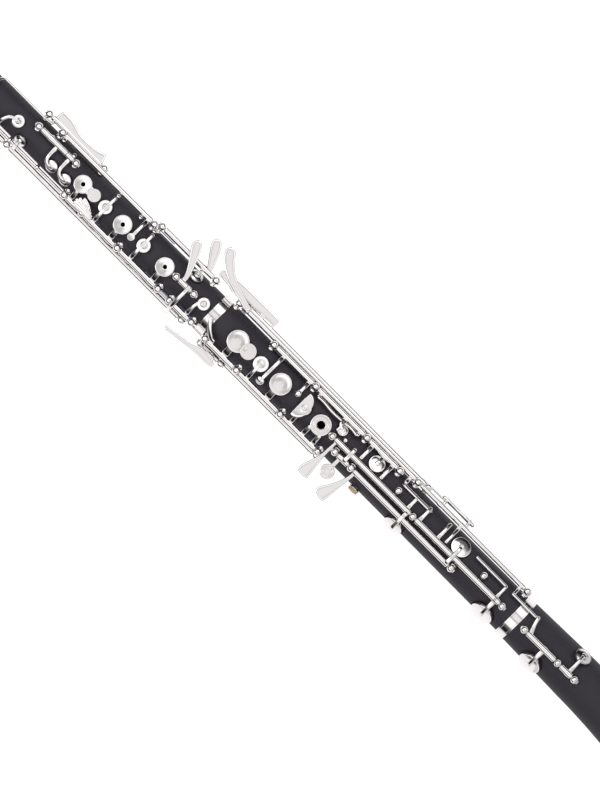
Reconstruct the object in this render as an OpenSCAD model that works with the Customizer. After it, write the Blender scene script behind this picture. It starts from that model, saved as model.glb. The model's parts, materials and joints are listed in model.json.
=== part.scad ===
// Conservatoire-style oboe: three wooden joints with ball posts, hinge rods and sprung keys.
// The bore runs along Z. The origin is the centre of the bell's rim, and the keys face -Y.
// A place on the body is an angle from the front, positive towards +X, and a height.

/* [Joints] */
// Length of the bell below its ring
bell_len = 122; // [110:1:150]
// Height of the silver ring between the bell and the lower joint
bell_ring_h = 6.3; // [4:0.1:7.5]
// Length of the lower joint with its top ring
lower_len = 242.7; // [240:0.1:292]
// Height of the silver ring at the top of the lower joint
lower_ring_h = 6; // [4:0.1:7.2]
// Length of the upper joint without its tenon
upper_len = 223; // [222:1:268]
// Radius of the bell at its rim
rim_r = 21.5; // [20:0.1:26]
// Radius of the bell under its ring
bell_top_r = 13.9; // [13.4:0.1:14.6]
// Radius of the lower joint at its foot
lower_foot_r = 13.2; // [13:0.1:13.6]
// Radius of the lower joint at its top
lower_top_r = 12.5; // [12.2:0.1:12.9]
// Radius of the upper joint at its foot
upper_foot_r = 11.8; // [11.4:0.1:12.1]
// Radius of the upper joint below its crown
upper_top_r = 10; // [9.7:0.1:10.4]
// Radius of the crown at the top of the upper joint
crown_r = 11.2; // [10.6:0.1:13.5]

/* [Bore and tenons] */
// Bore radius at the foot of the reed socket
bore_top_r = 2.1; // [1.75:0.05:2.55]
// Bore radius at the foot of the upper joint
bore_mid_r = 4.4; // [3.7:0.1:5.3]
// Bore radius at the foot of the lower joint
bore_low_r = 7.3; // [6.5:0.1:8.2]
// Bore radius at the bell's rim
bore_rim_r = 18.6; // [15.5:0.1:19]
// Radius of the reed socket that takes the staple's cork
socket_r = 3.45; // [3:0.05:4.15]
// Depth of the reed socket
socket_depth = 23; // [19:0.5:27.6]
// Length of the tenon on the upper joint
upper_tenon_len = 17; // [14:0.5:20.5]
// Length of the tenon on the lower joint
lower_tenon_len = 16; // [13:0.5:19.5]
// Radius of the upper joint's tenon
upper_tenon_r = 8; // [7.6:0.1:8.6]
// Radius of the lower joint's tenon
lower_tenon_r = 10.2; // [9.8:0.1:10.6]
// Thickness of the cork on a tenon
cork_t = 0.9; // [0.7:0.05:1.1]
// Wall of the metal sleeve in a socket
sleeve_t = 0.5; // [0.4:0.05:0.6]

/* [Keywork] */
// Radius of a hinge tube
tube_r = 1.7; // [1.4:0.05:1.8]
// Radius of a steel hinge rod
rod_r = 0.9; // [0.75:0.05:1.1]
// Running clearance between a rod and its tube
rod_fit = 0.05; // [0.02:0.01:0.08]
// Gap between the end of a tube and a post
end_gap = 0.3; // [0.25:0.05:0.5]
// Radius of a post's ball head
ball_r = 2.3; // [2:0.05:2.6]
// Radius of a post's stem
stem_r = 1.1; // [0.9:0.05:1.3]
// Radius of a post's foot
foot_r = 2; // [1.7:0.05:2.4]
// Height of a hinge line over the lower joint's wood
hinge_up = 3.5; // [3.3:0.05:3.9]
// Width of a key arm
arm_w = 2.2; // [1.8:0.1:2.6]
// Thickness of a key arm
arm_t = 1.4; // [1.2:0.1:1.6]
// Thickness of a pad
pad_t = 1.4; // [1.2:0.1:1.6]
// How far a pad stands out of its cup
pad_out = 0.5; // [0.4:0.05:0.6]
// How far an open pad stands off its seat
open_gap = 1.6; // [1.5:0.05:1.9]
// How far a closed pad stands off its seat
shut_gap = 0.15; // [0.12:0.01:0.2]
// Wall of a pad cup
cup_wall = 0.45; // [0.35:0.05:0.55]
// Thickness of a touch plate
touch_t = 1.3; // [1.1:0.05:1.5]
// Radius of the holes in the left hand's plates
vent_r = 1.2; // [1:0.05:1.45]
// Radius of a needle spring
spring_r = 0.3; // [0.25:0.01:0.36]

/* [Cup sizes] */
// Radius of the octave and trill cups
small_cup_r = 3.7; // [3.2:0.1:4]
// Radius of the small vent cups between the finger plates
vent_cup_r = 4.1; // [3.5:0.1:4.4]
// Radius of the left hand's finger plates
lh_plate_r = 5.6; // [4.8:0.1:6]
// Radius of the right hand's finger plates
rh_plate_r = 6.6; // [5.6:0.1:6.9]
// Radius of the E flat cup
eb_cup_r = 5; // [4.3:0.1:5.3]
// Radius of the C and C sharp cups
c_cup_r = 6.1; // [5.2:0.1:6.4]
// Radius of the low B cup
b_cup_r = 7.3; // [6.2:0.1:7.6]
// Radius of the low B flat cup
bb_cup_r = 7.1; // [6:0.1:7.4]

/* [Thumb rest] */
// Height of the thumb rest over the foot of the lower joint
rest_at = 188; // [150:1:200]
// Length of the thumb rest's base plate
rest_len = 26; // [22:1:31]
// Width of the thumb rest's base plate
rest_w = 11; // [9.5:0.5:13]
// Radius of the hole in the strap ring
strap_r = 2.6; // [2.2:0.1:3.1]

/* [Hidden] */
$fn = 48;
// Heights of the joints' feet and of the top of the instrument
l0 = bell_len + bell_ring_h;
u0 = l0 + lower_len;
top = u0 + upper_len;
crown_h = 20;
// Radius of the wood at a height on the three joints
function mix(a, b, f) = a + (b - a) * f;
function bell_r(z) = mix(bell_top_r, bell_top_r + 1.1, (bell_len - z) / 45);
function lower_r(z) = mix(lower_foot_r, lower_top_r, (z - l0) / lower_len);
function upper_r(z) = mix(upper_foot_r, upper_top_r, (z - u0) / (upper_len - crown_h));
function wood_r(z) = z > u0 ? upper_r(z) : (z > l0 ? lower_r(z) : bell_r(z));
// How far a flat seat of radius r lies under the crest of a cylinder of radius b
function sag(b, r) = b - sqrt(b * b - r * r);
seat_margin = 0.5;
function seat_at(z, r) = wood_r(z) - sag(wood_r(z), r + seat_margin);

// Hinge lines: [angle, distance from the bore's axis]
ul = [-57, upper_r(u0 + 50) + hinge_up];
ul2 = [-88, upper_r(u0 + 20) + hinge_up + 0.3];
ur = [56, upper_r(u0 + 60) + hinge_up];
ur2 = [78, upper_r(u0 + 70) + hinge_up];
ur3 = [72, upper_r(u0) + hinge_up];
uc1 = [21, upper_r(u0 + 120) + hinge_up];
uc2 = [0, upper_r(u0) + hinge_up];
ll = [-56, lower_r(l0 + 150) + hinge_up];
ll2 = [-87, lower_r(l0 + 150) + hinge_up + 0.8];
ll3 = [-107, lower_r(l0 + 150) + hinge_up];
lc1 = [-4, lower_r(l0) + hinge_up];
lc2 = [-23, lower_r(l0) + hinge_up];
ra = [48, lower_r(l0 + 150) + hinge_up];
rb = [66, lower_r(l0 + 100) + hinge_up];
rc = [88, lower_r(l0 + 150) + hinge_up + 0.5];
bl = [-5, bell_r(bell_len - 45) + hinge_up];
function spot(line, z) = [line[1] * sin(line[0]), -line[1] * cos(line[0]), z];

// Tone holes: [angle, height, cup radius, hole radius]
octave_1 = [-6, u0 + 153.4, small_cup_r, 0.8];
octave_2 = [14, u0 + 178, small_cup_r - 0.5, 0.7];
b_trill = [-47, u0 + 145.1, small_cup_r, 1.5];
d_trill_1 = [-31, u0 + 122.1, small_cup_r + 0.2, 1.6];
d_trill_2 = [-31, u0 + 111.2, small_cup_r + 0.2, 1.6];
half_hole = [-2, u0 + 102, lh_plate_r - 0.2, 1.7];
c_vent = [-3, u0 + 83.9, vent_cup_r, 1.5];
a_hole = [-3, u0 + 69.9, lh_plate_r, 2.2];
g_vent = [-3, u0 + 53.1, vent_cup_r, 1.7];
g_hole = [-3, u0 + 36, lh_plate_r, 2.4];
gs_hole = [43, u0 + 20, small_cup_r + 0.6, 2.2];
f_vent = [0, u0 + 5.5, small_cup_r, 1.8];
fs_hole = [-4, l0 + 219.4, rh_plate_r, 2.6];
e_vent = [-4, l0 + 201.2, vent_cup_r + 0.5, 2];
e_hole = [-4, l0 + 185.2, rh_plate_r - 0.1, 2.7];
moon = [-4, l0 + 166, vent_cup_r, 2.1];
d_hole = [-5, l0 + 152.6, rh_plate_r - 0.4, 2.3];
f_hole = [22, l0 + 141.7, vent_cup_r - 0.8, 2];
fork_vent = [-31, l0 + 194.9, vent_cup_r - 1.5, 1.2];
eb_hole = [24.5, l0 + 114.5, eb_cup_r, 3];
c_hole = [-60, l0 + 83.2, c_cup_r, 3.6];
cs_hole = [27, l0 + 47.3, c_cup_r, 3.4];
b_hole = [-60, l0 + 12.5, b_cup_r, 4.2];
bb_hole = [-56, bell_len - 20.5, bb_cup_r, 4.4];
bell_vent = [42, bell_len - 39.3, eb_cup_r, 2.4];
upper_holes = [octave_1, octave_2, b_trill, d_trill_1, d_trill_2, half_hole, c_vent,
    a_hole, g_vent, g_hole, gs_hole, f_vent];
lower_holes = [fs_hole, e_vent, e_hole, moon, d_hole, f_hole, fork_vent, eb_hole, c_hole,
    cs_hole, b_hole];
bell_holes = [bb_hole, bell_vent];
function pad_r(hole) = hole[2] - cup_wall;
function plate_pad(hole) = [hole[0], hole[1], hole[2] * 0.76, hole[3]];

// Posts: [hinge line, height]
upper_posts_at = [
    [ul, u0 + 3.4], [ul, u0 + 20.9], [ul, u0 + 30.3], [ul, u0 + 63], [ul, u0 + 91.4],
    [ul, u0 + 105.6], [ul2, u0 + 8.6], [ul2, u0 + 149.6], [ul2, u0 + 174.6], [ur, u0 + 57.4],
    [ur, u0 + 131.2], [ur2, u0 + 100.4], [ur2, u0 + 144.4], [ur3, u0 + 10.2], [ur3, u0 + 53.6],
    [uc1, u0 + 113.2], [uc1, u0 + 142.9], [uc2, u0 + 13.4], [uc2, u0 + 27.4]];
lower_posts_at = [
    [ll, l0 + 234], [ll, l0 + 208.6], [ll, l0 + 173.4], [ll, l0 + 143.2], [ll2, l0 + 234.2],
    [ll2, l0 + 217.6], [ll3, l0 + 142], [ll3, l0 + 230], [lc1, l0 + 143.5], [lc1, l0 + 79.1],
    [lc1, l0 + 7.4], [lc2, l0 + 136.2], [lc2, l0 + 123.4], [lc2, l0 + 43.1], [ra, l0 + 203.6],
    [ra, l0 + 170.2], [ra, l0 + 129], [ra, l0 + 102.4], [rb, l0 + 234.2], [rb, l0 + 90.4],
    [rb, l0 + 2.6], [rc, l0 + 229.6], [rc, l0 + 84.2]];
bell_posts_at = [[bl, bell_len - 4.6], [bl, bell_len - 31.2], [bl, bell_len - 44.6]];
// The posts at the foot and top of each run of keys, as numbers in the lists above
upper_runs = [[0, 5], [6, 8], [9, 10], [11, 12], [13, 14], [15, 16], [17, 18]];
lower_runs = [[3, 0], [5, 4], [6, 7], [10, 8], [13, 11], [17, 14], [20, 18], [22, 21]];
bell_runs = [[2, 0]];

// Heights of the key arms over the hinge lines' own distance
arm_mid = -arm_t / 2 + 0.1;
over_gap = 1.5;
over_mid = tube_r + over_gap + arm_t / 2;

// Moves children out to a distance from the bore's axis; local +Z points away from the bore
module out(a, z, r) rotate([0, 0, a]) translate([0, -r, z]) rotate([90, 0, 0]) children();

// Round tube along a hinge line with its bore
module on_line(line, z0, z1, r) rotate([0, 0, line[0]]) translate([0, -line[1], z0])
    cylinder(h = z1 - z0, r = r);

// A key: its tube and its arms, cups and touches, bored for the hinge rod and recessed for its pads.
// Each pad is [hole, gap off its seat, vent radius]
module key(line, z0, z1, pads = [], r = tube_r) color("silver") difference() {
    union() {
        on_line(line, z0, z1, r);
        children();
    }
    on_line(line, z0 - 1, z1 + 1, rod_r + rod_fit);
    for (p = pads) {
        base = seat_at(p[0][1], pad_r(p[0])) + p[1];
        out(p[0][0], p[0][1], base - 1) cylinder(h = pad_t + 1, r = pad_r(p[0]));
        if (p[2] > 0) out(p[0][0], p[0][1], base - 1) cylinder(h = 12, r = p[2]);
    }
}

// Where a key's tube starts above a post and ends below one
function above(z) = z + ball_r + end_gap;
function below(z) = z - ball_r - end_gap;

// Curved arm round the bore's axis from one angle to another
module arm(a0, a1, z, r, w = arm_w, t = arm_t) {
    low = min(a0, a1);
    rotate([0, 0, low - 90]) rotate_extrude(angle = abs(a1 - a0), $fn = 96)
        translate([r - t / 2, z - w / 2]) square([t, w]);
}

// Arm from a hinge line to an angle, at the line's own height
module line_arm(line, a1, z, w = arm_w) arm(line[0], a1, z, line[1] + arm_mid, w);

// Arm that passes over the neighbouring tube, with a riser at each end
riser_r = arm_w / 2 + 0.3;
module over_arm(line, a1, z, foot) {
    arm(line[0], a1, z, line[1] + over_mid);
    out(line[0], z, line[1]) cylinder(h = over_mid, r = riser_r);
    out(a1, z, foot) cylinder(h = line[1] + over_mid - foot, r = riser_r);
}

// Straight bar along the body at one angle
module rail(a, z0, z1, r, w = arm_w, t = arm_t) rotate([0, 0, a])
    translate([-w / 2, -r - t / 2, z0]) cube([w, t, z1 - z0]);

// Cup with a boss up to the arm; gap is the distance of its pad off the seat
cup_top = 0.7;
module cup(hole, gap, line) {
    base = seat_at(hole[1], pad_r(hole)) + gap;
    r = hole[2];
    out(hole[0], hole[1], base + pad_out) {
        cylinder(h = pad_t - pad_out + cup_top, r = r);
        translate([0, 0, pad_t - pad_out + cup_top]) cylinder(h = 0.5, r1 = r - 0.2, r2 = r * 0.5);
        cylinder(h = line[1] - base - pad_out, r = min(1.6, r * 0.4));
    }
}

// Finger plate on a narrower cup
module plate(hole, gap, line) {
    pad = plate_pad(hole);
    base = seat_at(pad[1], pad_r(pad)) + gap;
    high = line[1] - base - pad_out;
    out(hole[0], hole[1], base + pad_out) {
        cylinder(h = high - touch_t / 2, r = pad[2]);
        translate([0, 0, high - touch_t - 0.2]) cylinder(h = touch_t, r = hole[2]);
    }
}

// Lug from a hinge line towards -Y that carries a blade in front of the posts
lug_r = 1.5;
lug_reach = ball_r + 0.5 + touch_t / 2;
module lug(line, z, reach) translate(spot(line, z)) rotate([90, 0, 0]) cylinder(h = reach, r = lug_r);

// Pad under a cup, with a hole under a vented plate
module pad(hole, gap, vent = 0) color("burlywood")
    out(hole[0], hole[1], seat_at(hole[1], pad_r(hole)) + gap) difference() {
        cylinder(h = pad_t, r = pad_r(hole));
        if (vent > 0) translate([0, 0, -1]) cylinder(h = pad_t + 2, r = vent);
    }

// Flat touch in the XZ plane, its back face at y
module blade(y, points, t = touch_t) translate([0, y, 0]) rotate([90, 0, 0])
    linear_extrude(t) polygon(points);

// A post: threaded stem, foot, and a ball head drilled for the rod
stem_in = 2.1;
foot_in = 0.4;
foot_h = 1;
module post(line, z) {
    r = wood_r(z);
    difference() {
        union() {
            out(line[0], z, r - stem_in) cylinder(h = line[1] - r + stem_in, r = stem_r);
            out(line[0], z, r - foot_in) cylinder(h = foot_in + foot_h, r = foot_r);
            translate(spot(line, z)) sphere(r = ball_r);
        }
        on_line(line, z - ball_r - 1, z + ball_r + 1, rod_r);
    }
}
module post_cut(line, z) {
    r = wood_r(z);
    out(line[0], z, r - stem_in) cylinder(h = stem_in + 1, r = stem_r);
    out(line[0], z, r - foot_in) cylinder(h = foot_in + 3, r = foot_r);
}
module rods(at, runs) color("gray") for (run = runs)
    on_line(at[run[0]][0], at[run[0]][1] - ball_r + 0.4, at[run[1]][1] + ball_r - 0.4, rod_r);

// Needle spring beside a post, along the underside of its key's tube
module spring(line, z0, z1) color("steelblue") on_line([line[0], line[1] - tube_r - 0.4 - spring_r],
    min(z0, z1), max(z0, z1), spring_r);

// Tone hole: flat seat and bore
seat_clear = 1;
module tone_hole(hole, r) {
    seat = seat_at(hole[1], r);
    out(hole[0], hole[1], seat) cylinder(h = 6, r = r + seat_clear);
    out(hole[0], hole[1], 0.5) cylinder(h = seat, r = hole[3]);
}
plates = [half_hole, a_hole, g_hole, fs_hole, e_hole, d_hole];
function seat_r(hole) = len([for (p = plates) if (p == hole) p]) > 0 ?
    pad_r(plate_pad(hole)) : pad_r(hole);
module cuts(holes, at) {
    for (h = holes) tone_hole(h, seat_r(h));
    for (p = at) post_cut(p[0], p[1]);
}

// Wooden joints
wood = [0.16, 0.15, 0.17];
socket_gap = 0.3;
upper_socket_r = upper_tenon_r + cork_t;
lower_socket_r = lower_tenon_r + cork_t;
neck_r = upper_top_r - 1;
module upper_joint() color(wood) difference() {
    rotate_extrude($fn = 72) polygon([
        [bore_mid_r, u0 - upper_tenon_len], [upper_tenon_r - cork_t, u0 - upper_tenon_len],
        [upper_tenon_r - cork_t, u0 - 1.5], [upper_tenon_r, u0 - 1.5], [upper_tenon_r, u0],
        [upper_foot_r, u0], [upper_top_r, top - crown_h], [neck_r, top - crown_h + 4],
        [neck_r + 0.3, top - crown_h + 7], [crown_r - 0.3, top - crown_h + 12],
        [crown_r, top - crown_h + 14.5], [crown_r - 0.8, top - crown_h + 17.2],
        [neck_r - 0.6, top - 1.6], [socket_r + sleeve_t, top - 1.6],
        [socket_r + sleeve_t, top - socket_depth], [bore_top_r, top - socket_depth]]);
    cuts(upper_holes, upper_posts_at);
}
module lower_joint() color(wood) difference() {
    rotate_extrude($fn = 72) polygon([
        [bore_low_r, l0 - lower_tenon_len], [lower_tenon_r - cork_t, l0 - lower_tenon_len],
        [lower_tenon_r - cork_t, l0 - 1.5], [lower_tenon_r, l0 - 1.5], [lower_tenon_r, l0],
        [lower_foot_r, l0], [lower_top_r, u0 - lower_ring_h],
        [upper_socket_r + sleeve_t, u0 - lower_ring_h],
        [upper_socket_r + sleeve_t, u0 - upper_tenon_len - socket_gap],
        [bore_mid_r, u0 - upper_tenon_len - socket_gap]]);
    cuts(lower_holes, lower_posts_at);
    rest_screw_cuts();
}
flare = 1.9;
bell_bore_r = bore_low_r;
lip = 3;
function bell_out(z) = z > bell_len - 45 ? bell_r(z) :
    bell_top_r + 1.1 + (rim_r - bell_top_r - 1.1) * pow((bell_len - 45 - z) / (bell_len - 45 - lip), flare);
function bell_in(z) = bell_bore_r + (bore_rim_r - bell_bore_r) * pow(1 - z / (bell_len - 10), flare);
module bell() color(wood) difference() {
    rotate_extrude($fn = 96) polygon(concat(
        [[lower_socket_r + sleeve_t, l0 - lower_tenon_len - socket_gap],
         [lower_socket_r + sleeve_t, bell_len], [bell_top_r, bell_len]],
        [for (i = [0 : 10]) let (z = (bell_len - 45) * (1 - i / 10) + lip * i / 10) [bell_out(z), z]],
        [[rim_r - 0.9, 0], [bore_rim_r + 0.4, 0]],
        [for (i = [0 : 10]) let (z = 1 + (l0 - lower_tenon_len - socket_gap - 1) * i / 10)
            [z > bell_len - 10 ? bell_bore_r : bell_in(z), z]]));
    cuts(bell_holes, bell_posts_at);
}

// Metal rings and sleeves
ring_out = 0.45;
ring_bead = 0.25;
module socket_ring(z0, z1, r_in, r_out) color("silver") difference() {
    union() {
        translate([0, 0, z0]) cylinder(h = z1 - z0, r = r_out, $fn = 72);
        translate([0, 0, z0]) cylinder(h = 1, r = r_out + ring_bead, $fn = 72);
        translate([0, 0, z1 - 1]) cylinder(h = 1, r = r_out + ring_bead, $fn = 72);
    }
    translate([0, 0, z0 - 1]) cylinder(h = z1 - z0 + 2, r = r_in, $fn = 72);
}
module sleeve(z0, z1, r) color("silver") difference() {
    translate([0, 0, z0]) cylinder(h = z1 - z0, r = r + sleeve_t, $fn = 72);
    translate([0, 0, z0 - 1]) cylinder(h = z1 - z0 + 2, r = r, $fn = 72);
}
module middle_ring() socket_ring(u0 - lower_ring_h, u0, upper_socket_r + sleeve_t, lower_top_r + ring_out);
module bell_ring() socket_ring(bell_len, l0, lower_socket_r + sleeve_t, bell_top_r + ring_out);
module middle_sleeve() sleeve(u0 - upper_tenon_len - socket_gap, u0, upper_socket_r);
module bell_sleeve() sleeve(l0 - lower_tenon_len - socket_gap, l0, lower_socket_r);
module reed_socket() color("silver") difference() {
    union() {
        translate([0, 0, top - socket_depth]) cylinder(h = socket_depth, r = socket_r + sleeve_t);
        translate([0, 0, top - 1.6]) cylinder(h = 1.6, r = neck_r - 0.9);
    }
    translate([0, 0, top - socket_depth - 1]) cylinder(h = socket_depth + 2, r = socket_r);
}
module tenon_cork(z0, len, r) color("tan") difference() {
    translate([0, 0, z0 - len + 1]) cylinder(h = len - 2.5, r = r + cork_t, $fn = 72);
    translate([0, 0, z0 - len]) cylinder(h = len, r = r - cork_t, $fn = 72);
}
module upper_cork() tenon_cork(u0, upper_tenon_len, upper_tenon_r);
module lower_cork() tenon_cork(l0, lower_tenon_len, lower_tenon_r);

// Thumb rest at the back with its strap ring and two screws
rest_z = l0 + rest_at;
rest_t = 1.6;
rest_y = lower_r(rest_z) + 1.2;
rest_in = 2.1;
screw_r = 1.1;
screw_head_r = 2;
screw_len = 5;
rest_pitch = rest_len / 2 - 4;
module rest_screw_cuts() {
    translate([-rest_w / 2, rest_y - rest_in, rest_z - rest_len / 2])
        cube([rest_w, rest_in + 3, rest_len]);
    for (s = [-1, 1]) translate([0, rest_y - screw_len, rest_z + s * rest_pitch])
        rotate([-90, 0, 0]) cylinder(h = screw_len + 2, r = screw_r);
}
strap_wall = 1.6;
strap_y = rest_y + rest_t + strap_r + 0.2;
strap_z = rest_z - 2.2;
hook_w = 15;
hook_out = 17;
module thumb_rest() color("silver") difference() {
    union() {
        translate([-rest_w / 2, rest_y - rest_in, rest_z - rest_len / 2])
            cube([rest_w, rest_in + rest_t, rest_len]);
        translate([-hook_w / 2, rest_y, rest_z + 3]) cube([hook_w, hook_out, 2]);
        translate([-hook_w / 2, rest_y + hook_out - 2, rest_z + 0.2]) cube([hook_w, 2, 4.8]);
        translate([-1, strap_y, strap_z]) rotate([0, 90, 0]) cylinder(h = 2, r = strap_r + strap_wall);
    }
    translate([-2, strap_y, strap_z]) rotate([0, 90, 0]) cylinder(h = 4, r = strap_r);
    for (s = [-1, 1]) translate([0, rest_y - 4, rest_z + s * rest_pitch])
        rotate([-90, 0, 0]) cylinder(h = 9, r = screw_r);
}
module thumb_rest_screws() color("gray") for (s = [-1, 1])
    translate([0, rest_y - screw_len, rest_z + s * rest_pitch]) rotate([-90, 0, 0]) difference() {
        union() {
            cylinder(h = screw_len + rest_t, r = screw_r);
            translate([0, 0, screw_len + rest_t]) cylinder(h = 1.1, r = screw_head_r);
        }
        translate([-3, -0.25, screw_len + rest_t + 0.5]) cube([6, 0.5, 2]);
    }

// Keys of the upper joint
module thumb_octave_key() key(ul2, above(u0 + 149.6), below(u0 + 174.6),
    [[octave_1, shut_gap, 0]]) {
    line_arm(ul2, octave_1[0], u0 + 160.8);
    rail(octave_1[0], octave_1[1], u0 + 161.9, ul2[1] + arm_mid);
    cup(octave_1, shut_gap, ul2);
    line_arm(ul2, -160, u0 + 169);
    arm(-185, -150, u0 + 150, ul2[1] + arm_mid, 42);
}
octave_rail = 58;
octave_rail_r = upper_r(u0 + 160) + 2.3;
module side_octave_key() key(ur2, above(u0 + 100.4), below(u0 + 144.4),
    [[octave_2, shut_gap, 0]]) {
    line_arm(ur2, octave_rail, u0 + 139.2);
    out(octave_rail, u0 + 139.2, octave_rail_r - 0.5) cylinder(h = 2.2, r = riser_r);
    rail(octave_rail, u0 + 138.4, octave_2[1] + 1.2, octave_rail_r, 1.8);
    arm(octave_rail, octave_2[0], octave_2[1], octave_rail_r);
    cup(octave_2, shut_gap, [0, octave_rail_r + 0.6]);
    y = spot(ur2, 0)[1];
    x = spot(ur2, 0)[0];
    blade(y - 0.2, [[x - 1.5, u0 + 140.5], [x + 6.6, u0 + 140.5], [x + 6.9, u0 + 134],
        [x + 4.2, u0 + 124], [x + 4.2, u0 + 112], [x + 7.4, u0 + 103.4], [x - 1.5, u0 + 103.4]]);
}
module side_trill_key() key(ul2, above(u0 + 8.6), below(u0 + 149.6),
    [[b_trill, shut_gap, 0]]) {
    line_arm(ul2, b_trill[0], u0 + 145.1);
    line_arm(ul2, -104, u0 + 12.6);
    cup(b_trill, shut_gap, ul2);
}
module c_trill_key() key(uc1, u0 + 120.9, below(u0 + 142.9),
    [[d_trill_1, shut_gap, 0]]) {
    line_arm(uc1, d_trill_1[0], u0 + 126.6);
    rail(d_trill_1[0], d_trill_1[1], u0 + 127.7, uc1[1] + arm_mid);
    cup(d_trill_1, shut_gap, uc1);
    line_arm(uc1, 33, u0 + 133);
}
module d_trill_key() key(uc1, above(u0 + 113.2), u0 + 120.5,
    [[d_trill_2, shut_gap, 0]]) {
    line_arm(uc1, d_trill_2[0], u0 + 117.1);
    rail(d_trill_2[0], d_trill_2[1], u0 + 118.2, uc1[1] + arm_mid);
    cup(d_trill_2, shut_gap, uc1);
    line_arm(uc1, 40, u0 + 117.1);
}
module trill_lever() key(ur, above(u0 + 57.4), below(u0 + 131.2)) {
    line_arm(ur, -9, u0 + 61.6);
    out(-9, u0 + 61.6, ur[1] - 1) cylinder(h = 1.4, r = 2.1);
    line_arm(ur, 37, u0 + 127.4);
}
module half_hole_key() key(ul, above(u0 + 91.4), below(u0 + 105.6),
    [[plate_pad(half_hole), open_gap, vent_r]]) {
    line_arm(ul, half_hole[0] - 13, u0 + 101.5);
    plate(half_hole, open_gap, ul);
    out(half_hole[0], half_hole[1] - 9, ul[1] - touch_t) cylinder(h = touch_t - 0.2, r = 3.9);
    blade(-ul[1] + touch_t + 0.2, [[-3, u0 + 97], [-8.4, u0 + 98.4], [-9.6, u0 + 93],
        [-8.6, u0 + 89.4], [-6, u0 + 89], [-3, u0 + 92]]);
}
module a_key() key(ul, above(u0 + 63), below(u0 + 91.4),
    [[plate_pad(a_hole), open_gap, vent_r], [c_vent, open_gap, 0]]) {
    line_arm(ul, a_hole[0] - 13, u0 + 69.9);
    plate(a_hole, open_gap, ul);
    line_arm(ul, 32, u0 + 83.3);
    cup(c_vent, open_gap, ul);
}
module g_key() key(ul, above(u0 + 30.3), below(u0 + 63),
    [[plate_pad(g_hole), open_gap, vent_r], [g_vent, open_gap, 0]]) {
    line_arm(ul, g_hole[0] - 13, u0 + 36);
    plate(g_hole, open_gap, ul);
    line_arm(ul, 34, u0 + 53.6);
    cup(g_vent, open_gap, ul);
}
module bridge_key() key(ul, above(u0 + 3.4), below(u0 + 20.9),
    [[f_vent, open_gap, 0]]) {
    line_arm(ul, f_vent[0], u0 + 8.3);
    cup(f_vent, open_gap, ul);
}
link_gap = 1.1;
module left_f_lever() key(uc2, above(u0 + 13.4), below(u0 + 27.4)) {
    arm(-120, 5, u0 + 17.9, uc2[1] + tube_r + link_gap + arm_t / 2);
    out(0, u0 + 17.9, uc2[1]) cylinder(h = tube_r + link_gap + 0.5, r = riser_r);
    blade(-uc2[1] + 0.4, [[0.6, u0 + 21.4], [8, u0 + 23.6], [14, u0 + 25.2], [21.5, u0 + 28.6],
        [24.4, u0 + 31.4], [22.6, u0 + 34.2], [17.8, u0 + 33], [9, u0 + 27], [0.6, u0 + 24.2]]);
}
module g_sharp_key() key(ur3, above(u0 + 10.2), below(u0 + 53.6),
    [[gs_hole, shut_gap, 0]]) {
    line_arm(ur3, gs_hole[0], gs_hole[1]);
    cup(gs_hole, shut_gap, ur3);
    x = spot(ur3, 0)[0];
    blade(spot(ur3, 0)[1] + 0.3, [[x, u0 + 15.4], [x + 6, u0 + 16.6], [x + 13, u0 + 19.6],
        [x + 18.4, u0 + 24.4], [x + 17, u0 + 28], [x + 11.6, u0 + 26.6], [x + 5, u0 + 21.6],
        [x, u0 + 20]]);
}

// Keys of the lower joint
module b_lever() key(rb, above(l0 + 90.4), below(l0 + 234.2)) {
    y = spot(rb, 0)[1];
    x = spot(rb, 0)[0];
    lug(rb, l0 + 228, lug_reach);
    blade(y - ball_r - 0.5, [[x - 1, l0 + 231], [x + 1.5, l0 + 226], [x + 8.6, l0 + 247.4],
        [x + 17, l0 + 254.2], [x + 20.6, l0 + 258.6], [x + 18.6, l0 + 261.6], [x + 13, l0 + 260.6],
        [x + 5.6, l0 + 251]]);
    line_arm(rb, 36, l0 + 95.4);
    rail(36, l0 + 73, l0 + 96.4, rb[1] - 2.3, 1.6, 1.2);
    out(36, l0 + 95.4, rb[1] - 2.4) cylinder(h = 2, r = 0.8);
}
module bb_lever() key(rc, above(l0 + 84.2), below(l0 + 229.6)) {
    y = spot(rc, 0)[1];
    x = spot(rc, 0)[0];
    blade(y - 0.2, [[x - 1, l0 + 211], [x + 7, l0 + 211], [x + 7.6, l0 + 214], [x + 7.6, l0 + 243],
        [x + 4.6, l0 + 255], [x + 2.2, l0 + 255], [x + 3.6, l0 + 240], [x + 3, l0 + 224],
        [x - 1, l0 + 222]]);
    line_arm(rc, 98, l0 + 89);
    out(98, l0 + 89, rc[1] - 0.5) cylinder(h = 2.4, r = 0.9);
    rail(98, l0 + 71, l0 + 90, rc[1] + 1.7, 1.6, 1.2);
}
module side_trill_touch() key(ll2, above(l0 + 217.6), below(l0 + 234.2)) {
    y = spot(ll2, 0)[1];
    x = spot(ll2, 0)[0];
    lug(ll2, l0 + 225, lug_reach);
    blade(y - ball_r - 0.5, [[x + 1, l0 + 221], [x + 1, l0 + 230], [x - 3.4, l0 + 240],
        [x - 5.6, l0 + 254.6],
        [x - 8.6, l0 + 255.4], [x - 8, l0 + 251], [x - 6.4, l0 + 236], [x - 5, l0 + 219.4],
        [x - 3, l0 + 219.4]]);
}
module f_sharp_key() key(ll, above(l0 + 208.6), below(l0 + 234),
    [[plate_pad(fs_hole), open_gap, 0]]) {
    line_arm(ll, fs_hole[0] - 14, l0 + 219.7);
    plate(fs_hole, open_gap, ll);
    out(fs_hole[0], fs_hole[1] - 8.2, ll[1] - touch_t) cylinder(h = touch_t - 0.2, r = 4.8);
    line_arm(ll, -40, l0 + 229.8);
}
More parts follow.
